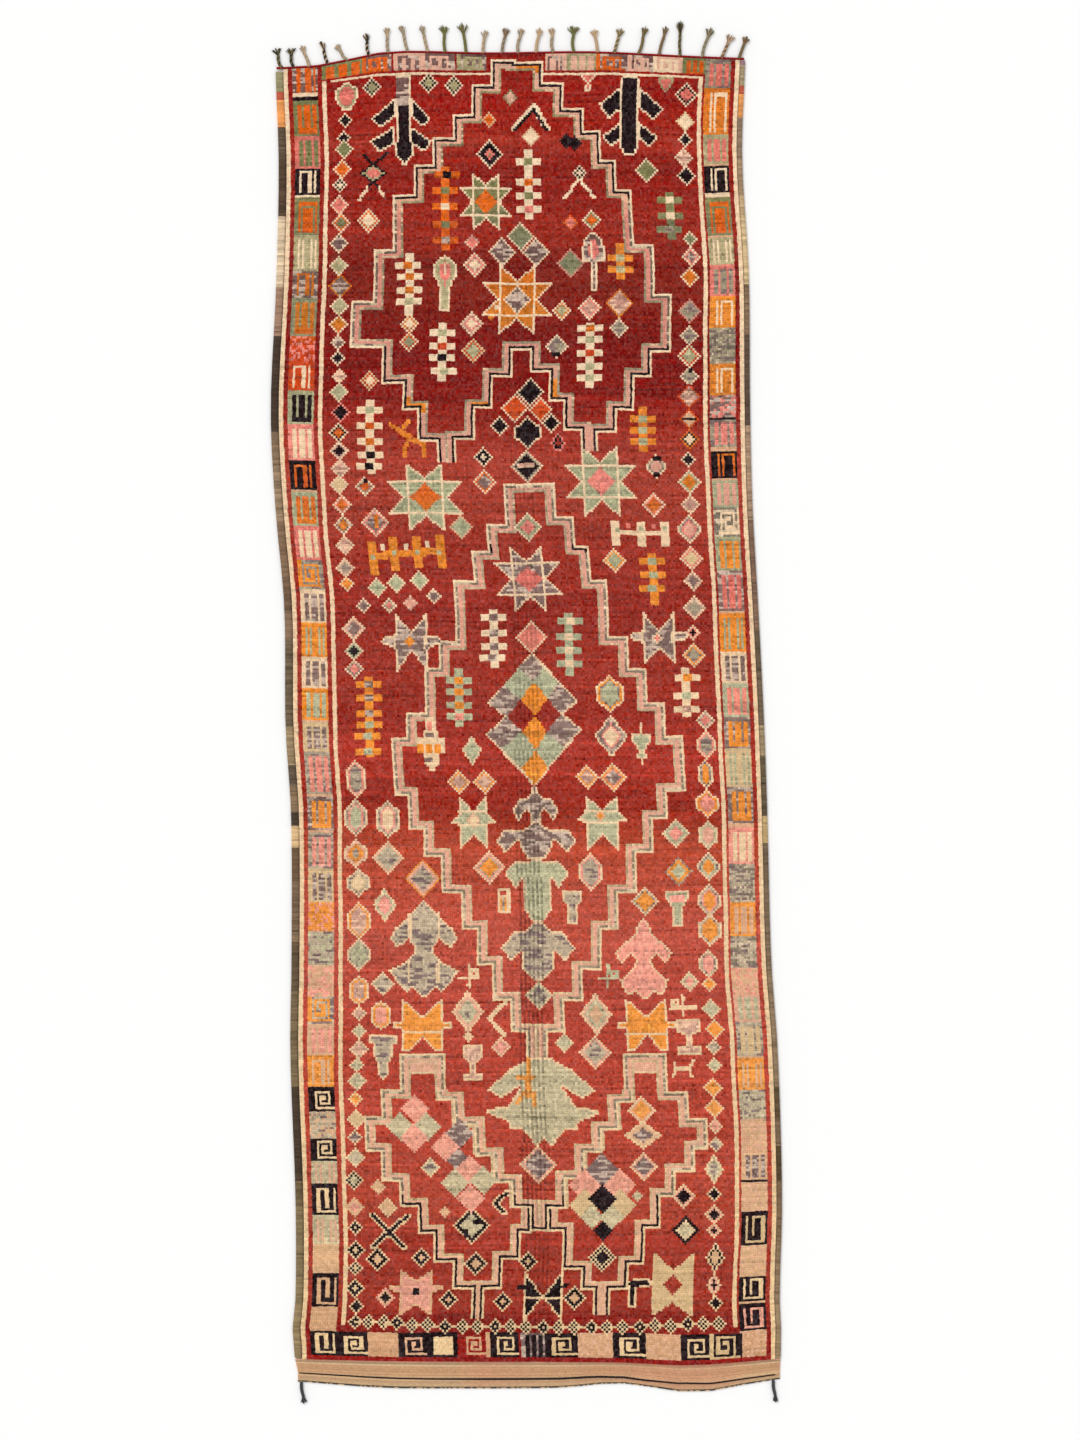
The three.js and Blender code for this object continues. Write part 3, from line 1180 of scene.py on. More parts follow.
DYES = {
    "r": {60: (150, 38, 26), 100: (160, 38, 26), 128: (160, 42, 28), 140: (173, 58, 44), 158: (152, 42, 31),
          190: (149, 40, 30), 230: (163, 51, 38), 265: (132, 39, 29), 290: (138, 43, 31), 345: (133, 31, 24),
          395: (141, 36, 28), 420: (156, 49, 38), 465: (176, 70, 55), 510: (170, 67, 52), 545: (164, 58, 45),
          610: (154, 51, 41), 640: (162, 57, 45), 690: (163, 57, 44), 715: (154, 51, 40), 740: (177, 61, 48),
          770: (174, 59, 46), 800: (158, 50, 37), 815: (163, 56, 40), 845: (184, 78, 55), 935: (193, 87, 69),
          985: (183, 78, 62), 1060: (184, 74, 57), 1215: (179, 74, 56), 1235: (167, 61, 47),
          1300: (162, 60, 45), 1316: (142, 42, 33), 1360: (150, 36, 30)},
    "c": {60: (240, 212, 178), 700: (236, 204, 166), 1350: (230, 198, 152)},
    "w": {60: (236, 210, 178), 1350: (232, 204, 166)},
    "k": {60: (42, 25, 28), 1350: (42, 26, 28)},
    "p": {60: (216, 118, 104), 480: (230, 140, 126), 580: (219, 118, 106), 640: (229, 136, 117),
          900: (238, 160, 141), 1150: (230, 162, 138), 1350: (222, 160, 138)},
    "q": {60: (222, 174, 150), 200: (222, 170, 140), 215: (217, 144, 126), 340: (215, 146, 128),
          350: (214, 160, 138), 560: (222, 162, 140), 900: (228, 172, 146), 1350: (222, 176, 142)},
    "o": {60: (212, 98, 34), 205: (222, 108, 34), 235: (208, 92, 34), 270: (205, 112, 40),
          320: (206, 124, 46), 345: (198, 70, 34), 420: (204, 84, 38), 445: (216, 122, 46),
          480: (208, 92, 40), 540: (228, 140, 56), 700: (236, 145, 55), 900: (232, 150, 70),
          1050: (237, 154, 70), 1110: (234, 158, 84)},
    "a": {60: (222, 124, 44), 300: (222, 138, 54), 480: (222, 130, 50), 700: (230, 142, 56),
          1350: (234, 158, 84)},
    "g": {60: (128, 128, 84), 200: (136, 130, 86), 240: (134, 132, 100), 480: (166, 160, 124),
          700: (178, 176, 144), 1350: (188, 182, 148)},
    "l": {60: (168, 156, 116), 250: (182, 168, 128), 480: (174, 172, 136), 700: (180, 176, 142),
          900: (188, 182, 147), 1100: (196, 181, 146), 1350: (204, 186, 148)},
    "v": {60: (124, 92, 86), 250: (126, 98, 90), 600: (136, 108, 100), 720: (142, 116, 106),
          850: (134, 108, 98), 1350: (130, 106, 102)},
    "s": {60: (214, 172, 134), 850: (224, 174, 138), 1000: (216, 172, 136), 1240: (221, 180, 138),
          1345: (209, 163, 124)},
    "y": {60: (222, 192, 148), 900: (214, 184, 140), 1350: (214, 182, 136)},
    "e": {60: (158, 146, 120), 350: (165, 150, 125), 700: (172, 155, 132), 930: (192, 172, 146),
          1350: (196, 178, 146)},
    "m": {60: (190, 140, 122), 700: (196, 150, 132), 1350: (206, 166, 140)},
    "n": {60: (104, 88, 78), 350: (122, 108, 94), 640: (140, 126, 108), 1000: (150, 136, 112),
          1350: (120, 106, 92)},
    "t": {60: (150, 136, 100), 300: (152, 140, 112), 450: (166, 150, 124), 640: (190, 168, 135),
          1000: (206, 178, 140), 1350: (204, 176, 132)},
}
SPECKS = {"v": ((196, 172, 154), 0.36), "e": ((138, 116, 110), 0.28), "m": ((226, 184, 156), 0.35),
          "n": ((206, 184, 154), 0.35), "t": ((208, 178, 146), 0.25)}
RUN = 4
PILE_FROM = 56
PILE_TO = 1359


def dyed(yarn, heights):
    """The colour of a yarn at heights in steps."""
    stops = DYES[yarn]
    known = np.array([linear(colour) for colour in stops.values()])
    return np.stack([np.interp(heights, list(stops), part) for part in known.T], -1)


heights = np.interp(np.arange(ROWS) + 0.5, [0, ROWS], [PILE_FROM, PILE_TO])
colour = np.zeros((ROWS, COLUMNS, 3))
for yarn in DYES:
    tied = chart == yarn
    shade = np.repeat(dyed(yarn, heights)[:, None, :], COLUMNS, 1)
    if yarn in SPECKS:
        other, share = SPECKS[yarn]
        runs = dice.random((ROWS, COLUMNS // RUN + 2)).repeat(RUN, 1)
        runs = np.array([np.roll(row, dice.integers(RUN)) for row in runs])[:, :COLUMNS]
        shade[runs < share] = linear(other)
    colour[tied] = shade[tied]
print("yarns used:", "".join(yarn for yarn in DYES if (chart == yarn).any()))

# %% Streaks, knots and painted shade along the fold
STREAK = 0.12
STREAK_TURNS = 7
KNOT_CHANGE = 0.14
PALE_YARNS = "cwsyq"
CALM = 0.55
HAZE = 0.012
change_places = np.linspace(0, COLUMNS, STREAK_TURNS)
streaks = dice.normal(0, STREAK, (ROWS, STREAK_TURNS))
streak = np.array([np.interp(np.arange(COLUMNS), change_places, row) for row in streaks])
change = streak + dice.normal(0, KNOT_CHANGE, (ROWS, COLUMNS))
change = np.where(np.isin(chart, list(PALE_YARNS)), change * CALM, change)
colour *= (1 + change)[..., None].clip(0.4, 1.7)
colour += dice.normal(0, HAZE, (ROWS, COLUMNS, 1))
# Painted shade: the knot columns along the crease of the fold are darkened, by a depth that changes down the
# rug.
FOLD_SHADE_LINES = (-5, -3, -1, 1, 3, 5)
FOLD_TOP = (515, 60)
FOLD_RUN = (23, 1300)
FOLD_SHADE_LEAST = 0.3
FOLD_SHADE_DEPTHS = {60: 0.12, 400: 0.15, 760: 0.4, 900: 0.6, 1150: 0.5, 1350: 0.25}
fold_right = FOLD_TOP[0] + FOLD_RUN[0] * (heights - FOLD_TOP[1]) / FOLD_RUN[1]
fold_place = np.array([seat(right, height)[0] for right, height in zip(fold_right, heights)])
fold_shade_depth = np.interp(heights, list(FOLD_SHADE_DEPTHS), list(FOLD_SHADE_DEPTHS.values()))
for line in FOLD_SHADE_LINES:
    column = (fold_place + line).astype(int)
    colour[np.arange(ROWS), column] *= (1 - fold_shade_depth * dice.uniform(FOLD_SHADE_LEAST, 1, ROWS))[:, None]
colour = colour.clip(0.002, 0.95)
print("mean colour", colour.mean((0, 1)).round(3))

# %% [markdown]
# ## Shader maths
# A material here is a few nodes, and node graphs are easier to read as sums. The small class below stands
# for a socket, so a * b adds a Math node. One method adds every other kind of node: its type, then its
# settings, then what goes into its sockets.

# %% Sockets that do maths
class Value:
    """A socket of a finish that takes part in Python sums."""

    def __init__(self, finish, socket):
        self.finish = finish
        self.socket = socket

    def sum(self, operation, first, second):
        return self.finish.node("ShaderNodeMath", {"operation": operation}, {0: first, 1: second})

    def __add__(self, other):
        return self.sum("ADD", self, other)

    def __radd__(self, other):
        return self.sum("ADD", other, self)

    def __mul__(self, other):
        return self.sum("MULTIPLY", self, other)


class Finish:
    """One material with a Principled shader."""

    def __init__(self, name, roughness=0.95):
        self.material = bpy.data.materials.new(name)
        self.material.use_nodes = True
        self.tree = self.material.node_tree
        self.shader = self.tree.nodes["Principled BSDF"]
        self.shader.inputs["Roughness"].default_value = roughness
        self.shader.inputs["Specular IOR Level"].default_value = 0.15

    def node(self, kind, settings, sockets, result=0):
        made = self.tree.nodes.new(kind)
        for name, setting in settings.items():
            setattr(made, name, setting)
        for name, value in sockets.items():
            if isinstance(value, Value):
                self.tree.links.new(value.socket, made.inputs[name])
            else:
                made.inputs[name].default_value = value
        return Value(self, made.outputs[result])

    def feed(self, name, value):
        self.tree.links.new(value.socket, self.shader.inputs[name])

    def place(self):
        return self.node("ShaderNodeTexCoord", {}, {}, "Object")

    def noise(self, scale, detail=2.0):
        sockets = {"Vector": self.place(), "Scale": scale, "Detail": detail}
        return self.node("ShaderNodeTexNoise", {}, sockets)

    def bump(self, height, strength, distance):
        sockets = {"Height": height, "Strength": strength, "Distance": distance}
        self.feed("Normal", self.node("ShaderNodeBump", {}, sockets))

    def shade(self, colour, light):
        """A colour made lighter or darker by a value."""
        grey = self.node("ShaderNodeCombineXYZ", {}, {0: light, 1: light, 2: light})
        return self.node("ShaderNodeVectorMath", {"operation": "MULTIPLY"}, {0: colour, 1: grey})


print("shader tools ready")

# %% [markdown]
# ## Wool finishes
# Knotted and wrapped wool take the colour tied into each knot from an attribute on the mesh, and add
# what is smaller than a knot: painted light on the fibres that the bump raises, and painted shade between
# them.

# %% Dyed wool and plain yarns
PATCH_SCALE = 9.0
LEAST_SHADE = 0.76
FIBRE_SHADE = 0.56
PATCH_SHADE = 0.12
YARN_FIBRE = 520.0
YARN_PATCH = 150.0


def dyed_wool(name, fibre, rough):
    """Wool that takes its colour from the knots, with fibres of a given fineness."""
    finish = Finish(name, roughness=rough)
    knots = finish.node("ShaderNodeAttribute", {"attribute_name": "yarn"}, {}, "Color")
    fibres = finish.noise(fibre, 3.0)
    patches = finish.noise(PATCH_SCALE)
    # Painted light and shade: the base colour is lighter on the raised fibres of the bump and darker between
    # them, with slow patches of tone on top.
    light = LEAST_SHADE + fibres * FIBRE_SHADE + patches * PATCH_SHADE
    finish.feed("Base Color", finish.shade(knots, light))
    finish.bump(fibres, strength=0.9, distance=0.0024)
    return finish.material


def plain_yarn(name, colour, other):
    """Spun yarn of two close shades with a hairy surface."""
    finish = Finish(name)
    fibres = finish.noise(YARN_FIBRE, 3.0)
    shades = {0: finish.noise(YARN_PATCH), 6: (*linear(colour), 1), 7: (*linear(other), 1)}
    mixed = finish.node("ShaderNodeMix", {"data_type": "RGBA"}, shades, 2)
    # Painted light and shade: the colour is lighter on the raised fibres of the bump and darker between
    # them.
    finish.feed("Base Color", finish.shade(mixed, 0.75 + fibres * 0.5))
    finish.bump(fibres, strength=0.5, distance=0.0008)
    return finish.material


pile_wool = dyed_wool("pile wool", 640.0, 0.97)
flat_wool = dyed_wool("flat-woven wool", 600.0, 0.95)
wrap_wool = dyed_wool("overcasting wool", 520.0, 0.95)
print("wool finishes made")

# %% [markdown]
# ## Pieces from a grid
# The pile, the flat weave and the wrapped sides all start as a flat grid, one square for a knot, a stitch
# or a wrap, which is then pulled to its place. Colours go on the faces. A long thin piece would waste
# most of a square texture, so its map is cut across into folds that lie side by side.

# %% Grid helpers
MAP_MARGIN = 0.03
MAP_TALL = 0.95
UNDER_FROM = 0.975
UNDER_TALL = 0.02
WALL = 0.6


def grid(columns, rows):
    """A flat grid of unit squares, with its first row at zero and the others below it."""
    made = bmesh.new()
    bmesh.ops.create_grid(made, x_segments=columns, y_segments=rows, size=0.5)
    for vert in made.verts:
        vert.co = (round((vert.co.x + 0.5) * columns), round((0.5 - vert.co.y) * rows), 0)
    bmesh.ops.reverse_faces(made, faces=made.faces[:])
    return made


def rim_of(made):
    """The open edges of a mesh."""
    return [line for line in made.edges if line.is_boundary]


def closed_below(made, depth):
    """Closes a grid with walls from its rim to a depth and one face there."""
    walls = bmesh.ops.extrude_edge_only(made, edges=rim_of(made))["geom"]
    for part in walls:
        if isinstance(part, bmesh.types.BMVert):
            part.co.z = depth
    bmesh.ops.edgeloop_fill(made, edges=rim_of(made))
    bmesh.ops.recalc_face_normals(made, faces=made.faces[:])


def places_of(mesh):
    """The vertices of a mesh as an array."""
    flat = np.zeros(len(mesh.vertices) * 3)
    mesh.vertices.foreach_get("co", flat)
    return flat.reshape(-1, 3)


def face_corners(mesh):
    """For every face corner its vertex and its face, and the number of corners of every face."""
    vertex = np.zeros(len(mesh.loops), int)
    mesh.loops.foreach_get("vertex_index", vertex)
    count = np.zeros(len(mesh.polygons), int)
    mesh.polygons.foreach_get("loop_total", count)
    return vertex, np.arange(len(count)).repeat(count), count


def face_means(mesh, spots):
    """The mean of a vertex array over every face."""
    vertex, face, count = face_corners(mesh)
    return np.stack([np.bincount(face, part) for part in spots[vertex].T], -1) / count[:, None]


def walled(x, columns, far_rim):
    """Shares across a grid's map, with room at both sides for the walls that end at a far rim."""
    from_middle = x - columns / 2
    outward = np.sign(from_middle) * (abs(from_middle) > columns / 2 - 0.1) * far_rim
    return (x + outward * WALL + WALL) / (columns + 2 * WALL)


def folded_map(mesh, across, along, folds, under=None):
    """Lays a long piece out in folds side by side: a share across and a share along for every vertex."""
    vertex, face, count = face_corners(mesh)
    middle = np.bincount(face, along[vertex]) / count
    fold = np.floor(middle * folds).clip(0, folds - 1)[face]
    spot = np.stack([
        (fold + MAP_MARGIN + across[vertex] * (1 - 2 * MAP_MARGIN)) / folds,
        MAP_MARGIN / 2 + (along[vertex] * folds - fold) * (MAP_TALL - MAP_MARGIN),
    ], -1)
    if under is not None:
        below = under[face]
        spot[below] = np.stack([across[vertex], UNDER_FROM + along[vertex] * UNDER_TALL], -1)[below]
    layer = mesh.uv_layers.new(name="OFBake")
    layer.uv.foreach_set("vector", spot.clip(0.001, 0.999).ravel())


def coloured(mesh, colours):
    """Gives every face its yarn colour."""
    layer = mesh.attributes.new("yarn", "FLOAT_COLOR", "FACE")
    layer.data.foreach_set("color", np.column_stack([colours, np.ones(len(colours))]).ravel())


def put(mesh, x, y, z):
    """Moves the vertices of a mesh to their places."""
    mesh.vertices.foreach_set("co", np.stack([x, y, z], -1).ravel())
    mesh.update()


def piece_of(name, mesh, material, smooth=False):
    """A finished piece that rides on the rug."""
    made = bpy.data.objects.new(name, mesh)
    bpy.context.scene.collection.objects.link(made)
    if material:
        mesh.materials.append(material)
    mesh.polygons.foreach_set("use_smooth", [smooth] * len(mesh.polygons))
    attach(made, "root")
    print(f"{name}: {len(mesh.polygons)} faces")
    return made


def mesh_of(name, made):
    """Turns a bmesh into a mesh."""
    mesh = bpy.data.meshes.new(name)
    made.to_mesh(mesh)
    made.free()
    return mesh


print("grid helpers ready")

# %% [markdown]
# ## The pile
# Each chart square becomes a low tuft: a quad poked in the middle, with the middle raised to the height
# that the worn pile still has. A strip for each border and one for each third of the field keeps every
# piece light enough, and the seams fall where knots meet anyway.

# %% Knotted strips
TUFT_FOOT = 0.0080
TUFT_TOP = 0.0098
TUFT_CHANGE = 0.00035
FOOT_LEAN = 0.0006
MOST_LEAN = 0.0014
CLOTH_TOP = 0.0045
FOLD_DIP = 0.0012
FOLD_KNOTS = 3.6
STILL_KNOTS = 12
# Waves of the rows: how fast each runs down and across the chart, where it starts, and its size.
SWAYS = ((0.047, 0.02, 0, 0.0011), (0.131, 0, 1.7, 0.0007))
RISES = ((0.013, 0.083, 0, 0.0012), (0, 0.21, 0.6, 0.0006))
tuft_change = dice.normal(0, TUFT_CHANGE, ROWS * COLUMNS)
foot_lean = np.zeros((2, ROWS + 1, COLUMNS + 1))
leans = dice.normal(0, FOOT_LEAN, (2, ROWS - 1, COLUMNS - 1))
foot_lean[:, 1:-1, 1:-1] = leans.clip(-MOST_LEAN, MOST_LEAN)


def wander(column, row, waves):
    """The sum of a few slow waves over the knot grid."""
    return sum(np.sin(row * down + column * across + start) * size for down, across, start, size in waves)


def knot_place(column, row):
    """X and Y of a place on the knot grid, with the small wander of hand-beaten rows."""
    x, y = on_cloth(column / COLUMNS, row / ROWS)
    inner = (np.minimum(column, COLUMNS - column) / STILL_KNOTS).clip(0, 1)
    inner = inner * (np.minimum(row, ROWS - row) / STILL_KNOTS).clip(0, 1)
    return x + wander(column, row, SWAYS) * inner, y + wander(column, row, RISES) * inner


def pile_strip(name, first, last, folds):
    """The knots of some columns of the chart as one closed piece."""
    columns = last - first
    made = grid(columns, ROWS)
    bmesh.ops.poke(made, faces=made.faces[:], offset=1.0)
    for vert in made.verts:
        vert.co.z = 1.0 if abs(vert.co.x % 1 - 0.5) < 0.01 else 0.0
    closed_below(made, -1.0)
    mesh = mesh_of(name, made)
    spots = places_of(mesh)
    means = face_means(mesh, spots)
    column = np.floor(means[:, 0]).clip(0, columns - 1).astype(int) + first
    row = np.floor(means[:, 1]).clip(0, ROWS - 1).astype(int)
    coloured(mesh, colour[row, column])
    x, y, level = spots.T
    folded_map(mesh, walled(x, columns, level < 0), y / ROWS, folds, means[:, 2] < -0.99)
    chart_x = x + first
    is_top = level > 0.5
    px, py = knot_place(chart_x, y)
    corner = (np.round(y).astype(int), np.round(chart_x).astype(int))
    px += np.where(is_top, 0, foot_lean[0][corner])
    py += np.where(is_top, 0, foot_lean[1][corner])
    knot_column = np.floor(chart_x).clip(0, COLUMNS - 1).astype(int)
    knot = np.floor(y).clip(0, ROWS - 1).astype(int) * COLUMNS + knot_column
    from_fold = chart_x - np.interp(y, np.arange(ROWS) + 0.5, fold_place)
    dip = FOLD_DIP * np.exp(-(from_fold / FOLD_KNOTS) ** 2)
    top = np.where(is_top, TUFT_TOP + tuft_change[knot], TUFT_FOOT) - dip
    put(mesh, px, py, np.where(level < -0.5, CLOTH_TOP, top))
    return piece_of(name, mesh, pile_wool)


BORDER_FOLDS = 6
FIELD_FOLDS = 3
THIRD = (COLUMNS - 2 * BORDER) // 3
pile = [
    pile_strip("pile_border_left", 0, BORDER, BORDER_FOLDS),
    pile_strip("pile_field_left", BORDER, BORDER + THIRD, FIELD_FOLDS),
    pile_strip("pile_field_middle", BORDER + THIRD, COLUMNS - BORDER - THIRD, FIELD_FOLDS),
    pile_strip("pile_field_right", COLUMNS - BORDER - THIRD, COLUMNS - BORDER, FIELD_FOLDS),
    pile_strip("pile_border_right", COLUMNS - BORDER, COLUMNS, BORDER_FOLDS),
]

# %% [markdown]
# ## The back of the cloth
# Every knot goes right round its warps, so the back of a knotted rug shows the design too, flat and without
# pile. The cloth under the tufts is a closed sheet whose lower side takes the colours of the chart, with a
# square for every two knots each way, because nobody looks at the back as closely.

# %% Back of the cloth
BACK_KNOTS = 2
BACK_FOLDS = 2
CLOTH_UNDER = 0.0002
WARP = linear((206, 176, 140))
back_columns = COLUMNS // BACK_KNOTS
back_rows = ROWS // BACK_KNOTS
made = grid(back_columns, back_rows)
closed_below(made, 1.0)
mesh = mesh_of("foundation", made)
spots = places_of(mesh)
means = face_means(mesh, spots)
back_column = (means[:, 0] * BACK_KNOTS).clip(0, COLUMNS - 1).astype(int)
back_row = (means[:, 1] * BACK_KNOTS).clip(0, ROWS - 1).astype(int)
on_back = means[:, 2] < 0.01
coloured(mesh, np.where(on_back[:, None], colour[back_row, back_column], WARP))
x, y, level = spots.T
above = level > 0.5
folded_map(mesh, walled(x, back_columns, above), y / back_rows, BACK_FOLDS, means[:, 2] > 0.99)
put(mesh, *on_cloth(x / back_columns, y / back_rows), np.where(above, CLOTH_TOP, CLOTH_UNDER))
foundation = piece_of("foundation", mesh, flat_wool)

# %% [markdown]
# ## The flat-woven end
# Below the pile the weaver went on with plain weft-faced weave: close ribs of weft in cream, tan and
# peach, with a dark overcast hem. Every second row of a fine grid is raised to make the ribs.

# %% Ribbed flat weave
RIBS = 30
RIB_COLUMNS = 240
RIB_DEEP = 0.0007
END_FOLDS = 5
WEAVE_TOP = 0.0042
BLUSH = linear((206, 146, 116))
BLUSHES = 9
MOST_BLUSH = 0.6
RIB_CHANGE = 0.07
STITCH_CHANGE = 0.06
BARE = linear((214, 180, 140))
BARE_SHARE = 0.4
STRIPES = ((0.0, (216, 168, 138)), (0.07, (172, 144, 112)), (0.12, (216, 184, 146)),
           (0.19, (196, 155, 117)), (0.46, (200, 158, 120)), (0.56, (208, 174, 134)),
           (0.72, (192, 156, 122)), (0.82, (206, 174, 134)), (0.95, (84, 72, 60)))


def end_place(across, down):
    """X and Y of shares across the flat-woven end and down from the pile to the hem."""
    level = end_mean + (hem_mean - end_mean) * down
    left = along_edge(LEFT, level)
    x = left + (along_edge(RIGHT, level) - left) * across
    top = along_edge(PILE_END, x)
    return x, top + (along_edge(HEM, x) - top) * down


made = grid(RIB_COLUMNS, RIBS * 2)
closed_below(made, -1.0)
mesh = mesh_of("flat_woven_end", made)
spots = places_of(mesh)
means = face_means(mesh, spots)
stitch = np.floor(means[:, 0]).clip(0, RIB_COLUMNS - 1).astype(int)
rib = np.floor(means[:, 1] / 2).clip(0, RIBS - 1).astype(int)
stripe = np.searchsorted([start for start, _ in STRIPES], (rib + 0.5) / RIBS, side="right") - 1
weft = np.array([linear(tone) for _, tone in STRIPES])[stripe]
blushes = dice.normal(0.0, 0.4, BLUSHES) + np.linspace(-0.3, 0.5, BLUSHES)
blush = np.interp(np.arange(RIB_COLUMNS), np.linspace(0, RIB_COLUMNS, BLUSHES), blushes)
over_hem = stripe < len(STRIPES) - 1
weft = weft + (BLUSH - weft) * (blush[stitch] * over_hem).clip(0, MOST_BLUSH)[:, None]
rib_change = dice.normal(0, RIB_CHANGE, RIBS)[rib]
weft *= (1 + rib_change + dice.normal(0, STITCH_CHANGE, (RIBS, RIB_COLUMNS))[rib, stitch])[:, None]
bare = (rib == RIBS - 1) & (dice.random(RIB_COLUMNS) < BARE_SHARE)[stitch]
weft[bare] = BARE
coloured(mesh, weft.clip(0.01, 0.95))
across = spots[:, 0] / RIB_COLUMNS
down = spots[:, 1] / (RIBS * 2)
folded_map(mesh, down, across, END_FOLDS, means[:, 2] < -0.99)
ridge = np.where(spots[:, 1] % 2 == 1, WEAVE_TOP, WEAVE_TOP - RIB_DEEP)
put(mesh, *end_place(across, down), np.where(spots[:, 2] < -0.5, CLOTH_UNDER, ridge))
flat_end = piece_of("flat_woven_end", mesh, flat_wool)

# %% [markdown]
# ## Overcast sides
# Wool yarn is wrapped over the outermost warps in whatever colour was at hand, so the sides change from
# cream to black to grey along the rug. The wraps lie across the edge. A grid is bent into a tube along
# the edge, and every second ring is a little fatter, which makes one wrap.

# %% Wrapped edges
WRAP = 0.0042
RING = 10
EDGE_HIGH = 0.009
EDGE_GAP = 0.0003
EDGE_FOLDS = 12
END_LAP = 0.003
BETWEEN_WRAPS = 0.9
WRAP_CHANGE = 0.16
FACE_CHANGE = 0.06
LEFT_WRAPS = """
68 150 142 106
92 176 84 62
100 222 146 84
128 92 76 60
160 84 66 50
217 212 187 155
288 152 120 98
336 68 54 44
431 122 100 78
460 146 122 96
520 126 100 78
585 112 88 68
610 132 106 86
640 106 90 70
725 148 126 96
765 96 82 66
785 132 108 82
812 70 58 46
824 204 170 126
847 106 84 62
880 118 96 74
940 98 80 60
990 119 101 74
1085 70 57 44
1180 110 92 66
1205 128 110 80
1300 142 121 88
"""
RIGHT_WRAPS = """
58 150 120 124
66 164 146 114
86 176 84 62
94 218 146 84
118 140 116 94
160 160 132 104
195 188 160 122
215 202 175 132
285 130 104 80
335 94 76 62
425 160 132 108
520 125 97 79
630 96 82 64
670 110 92 74
725 150 130 100
755 102 87 66
815 186 158 110
842 108 90 70
880 122 102 80
970 139 116 90
1085 92 74 52
1120 122 100 78
1145 84 68 46
1180 122 98 74
1240 136 112 86
1300 150 126 96
"""


def overcast(name, inner, outer, text, side):
    """The wrapped edge of one side, between the cloth and the frame's outer line."""
    first = min(inner[0].max(), outer[0].max())
    last = outer[0].min() - END_LAP
    wraps = int((first - last) / WRAP)
    made = grid(RING, wraps * 2)
    mesh = mesh_of(name, made)
    spots = places_of(mesh)
    turn = spots[:, 0] / RING * math.tau - math.pi / 2
    down = spots[:, 1] / (wraps * 2)
    y = first + (last - first) * down
    from_x = along_edge(inner, y) + side * EDGE_GAP
    to_x = along_edge(outer, y)
    fat = np.where(spots[:, 1] % 2 == 1, 1.0, BETWEEN_WRAPS)
    half = (to_x - from_x) / 2
    x = (from_x + to_x) / 2 + half * np.cos(turn) * fat * side
    z = EDGE_HIGH / 2 * (1 + np.sin(turn) * fat)
    means = face_means(mesh, spots)
    wrap = np.floor(means[:, 1] / 2).clip(0, wraps - 1).astype(int)
    steps = (CORNER[1] - (first - (wrap + 0.5) * WRAP)) / STEP
    rows = table(text)
    lot = np.searchsorted([row[0] for row in rows], steps, side="right").clip(1) - 1
    tones = np.array([linear(row[1:]) for row in rows])[lot]
    wrap_change = dice.normal(0, WRAP_CHANGE, wraps)[wrap]
    tones *= (1 + wrap_change + dice.normal(0, FACE_CHANGE, len(wrap)))[:, None]
    coloured(mesh, tones.clip(0.005, 0.9))
    folded_map(mesh, spots[:, 0] / RING, down, EDGE_FOLDS)
    put(mesh, x, y, z)
    made = bmesh.new()
    made.from_mesh(mesh)
    bmesh.ops.remove_doubles(made, verts=made.verts[:], dist=0.00001)
    bmesh.ops.holes_fill(made, edges=rim_of(made))
    bmesh.ops.recalc_face_normals(made, faces=made.faces[:])
    made.to_mesh(mesh)
    made.free()
    return piece_of(name, mesh, wrap_wool, smooth=True)


wrapped_left = overcast("overcast_left", PILE_LEFT, LEFT_OUT, LEFT_WRAPS, -1)
wrapped_right = overcast("overcast_right", PILE_RIGHT, RIGHT_OUT, RIGHT_WRAPS, 1)

# %% [markdown]
# ## Yarns, twists and braids
# Cords are easiest as curves: a line of points with a thickness at each point. Many strands go into one
# curve, each with its own yarn, and the curve is then made into a mesh. Two strands that wind round each
# other make a twist, and three that swing from side to side make a braid.

# %% Strands
YARNS = {
    "red": plain_yarn("heading yarn red", (176, 34, 34), (142, 26, 30)),
    "maroon": plain_yarn("heading yarn maroon", (150, 26, 28), (110, 20, 26)),
    "olive": plain_yarn("fringe yarn olive", (128, 118, 76), (100, 90, 58)),
    "green": plain_yarn("fringe yarn green", (124, 126, 72), (96, 98, 54)),
    "grey": plain_yarn("fringe yarn grey", (168, 156, 134), (132, 120, 100)),
    "beige": plain_yarn("fringe yarn beige", (204, 178, 144), (172, 142, 112)),
    "brown": plain_yarn("fringe yarn brown", (146, 110, 84), (108, 82, 60)),
    "dark": plain_yarn("fringe yarn dark", (62, 56, 46), (44, 40, 34)),
    "black": plain_yarn("twined yarn black", (46, 38, 38), (30, 26, 28)),
    "slate": plain_yarn("corner yarn slate", (76, 80, 78), (52, 54, 54)),
}


def strands_piece(name, strands):
    """One mesh of many strands: each is points with X, Y, Z and radius, and a yarn."""
    curve = bpy.data.curves.new(name, "CURVE")
    curve.dimensions = "3D"
    curve.bevel_depth = 1.0
    curve.bevel_resolution = 1
    curve.use_fill_caps = True
    names = sorted({yarn for _, yarn in strands})
    for yarn in names:
        curve.materials.append(YARNS[yarn])
    for points, yarn in strands:
        spline = curve.splines.new("POLY")
        spline.points.add(len(points) - 1)
        spline.points.foreach_set("co", np.column_stack([points[:, :3], np.ones(len(points))]).ravel())
        spline.points.foreach_set("radius", points[:, 3])
        spline.material_index = names.index(yarn)
        spline.use_smooth = True
    holder = bpy.data.objects.new(name + "_curve", curve)
    bpy.context.scene.collection.objects.link(holder)
    ready = bpy.context.evaluated_depsgraph_get()
    mesh = bpy.data.meshes.new_from_object(holder.evaluated_get(ready))
    bpy.data.objects.remove(holder)
    bpy.data.curves.remove(curve)
    return piece_of(name, mesh, None, smooth=True)


FLATTENED = 0.8


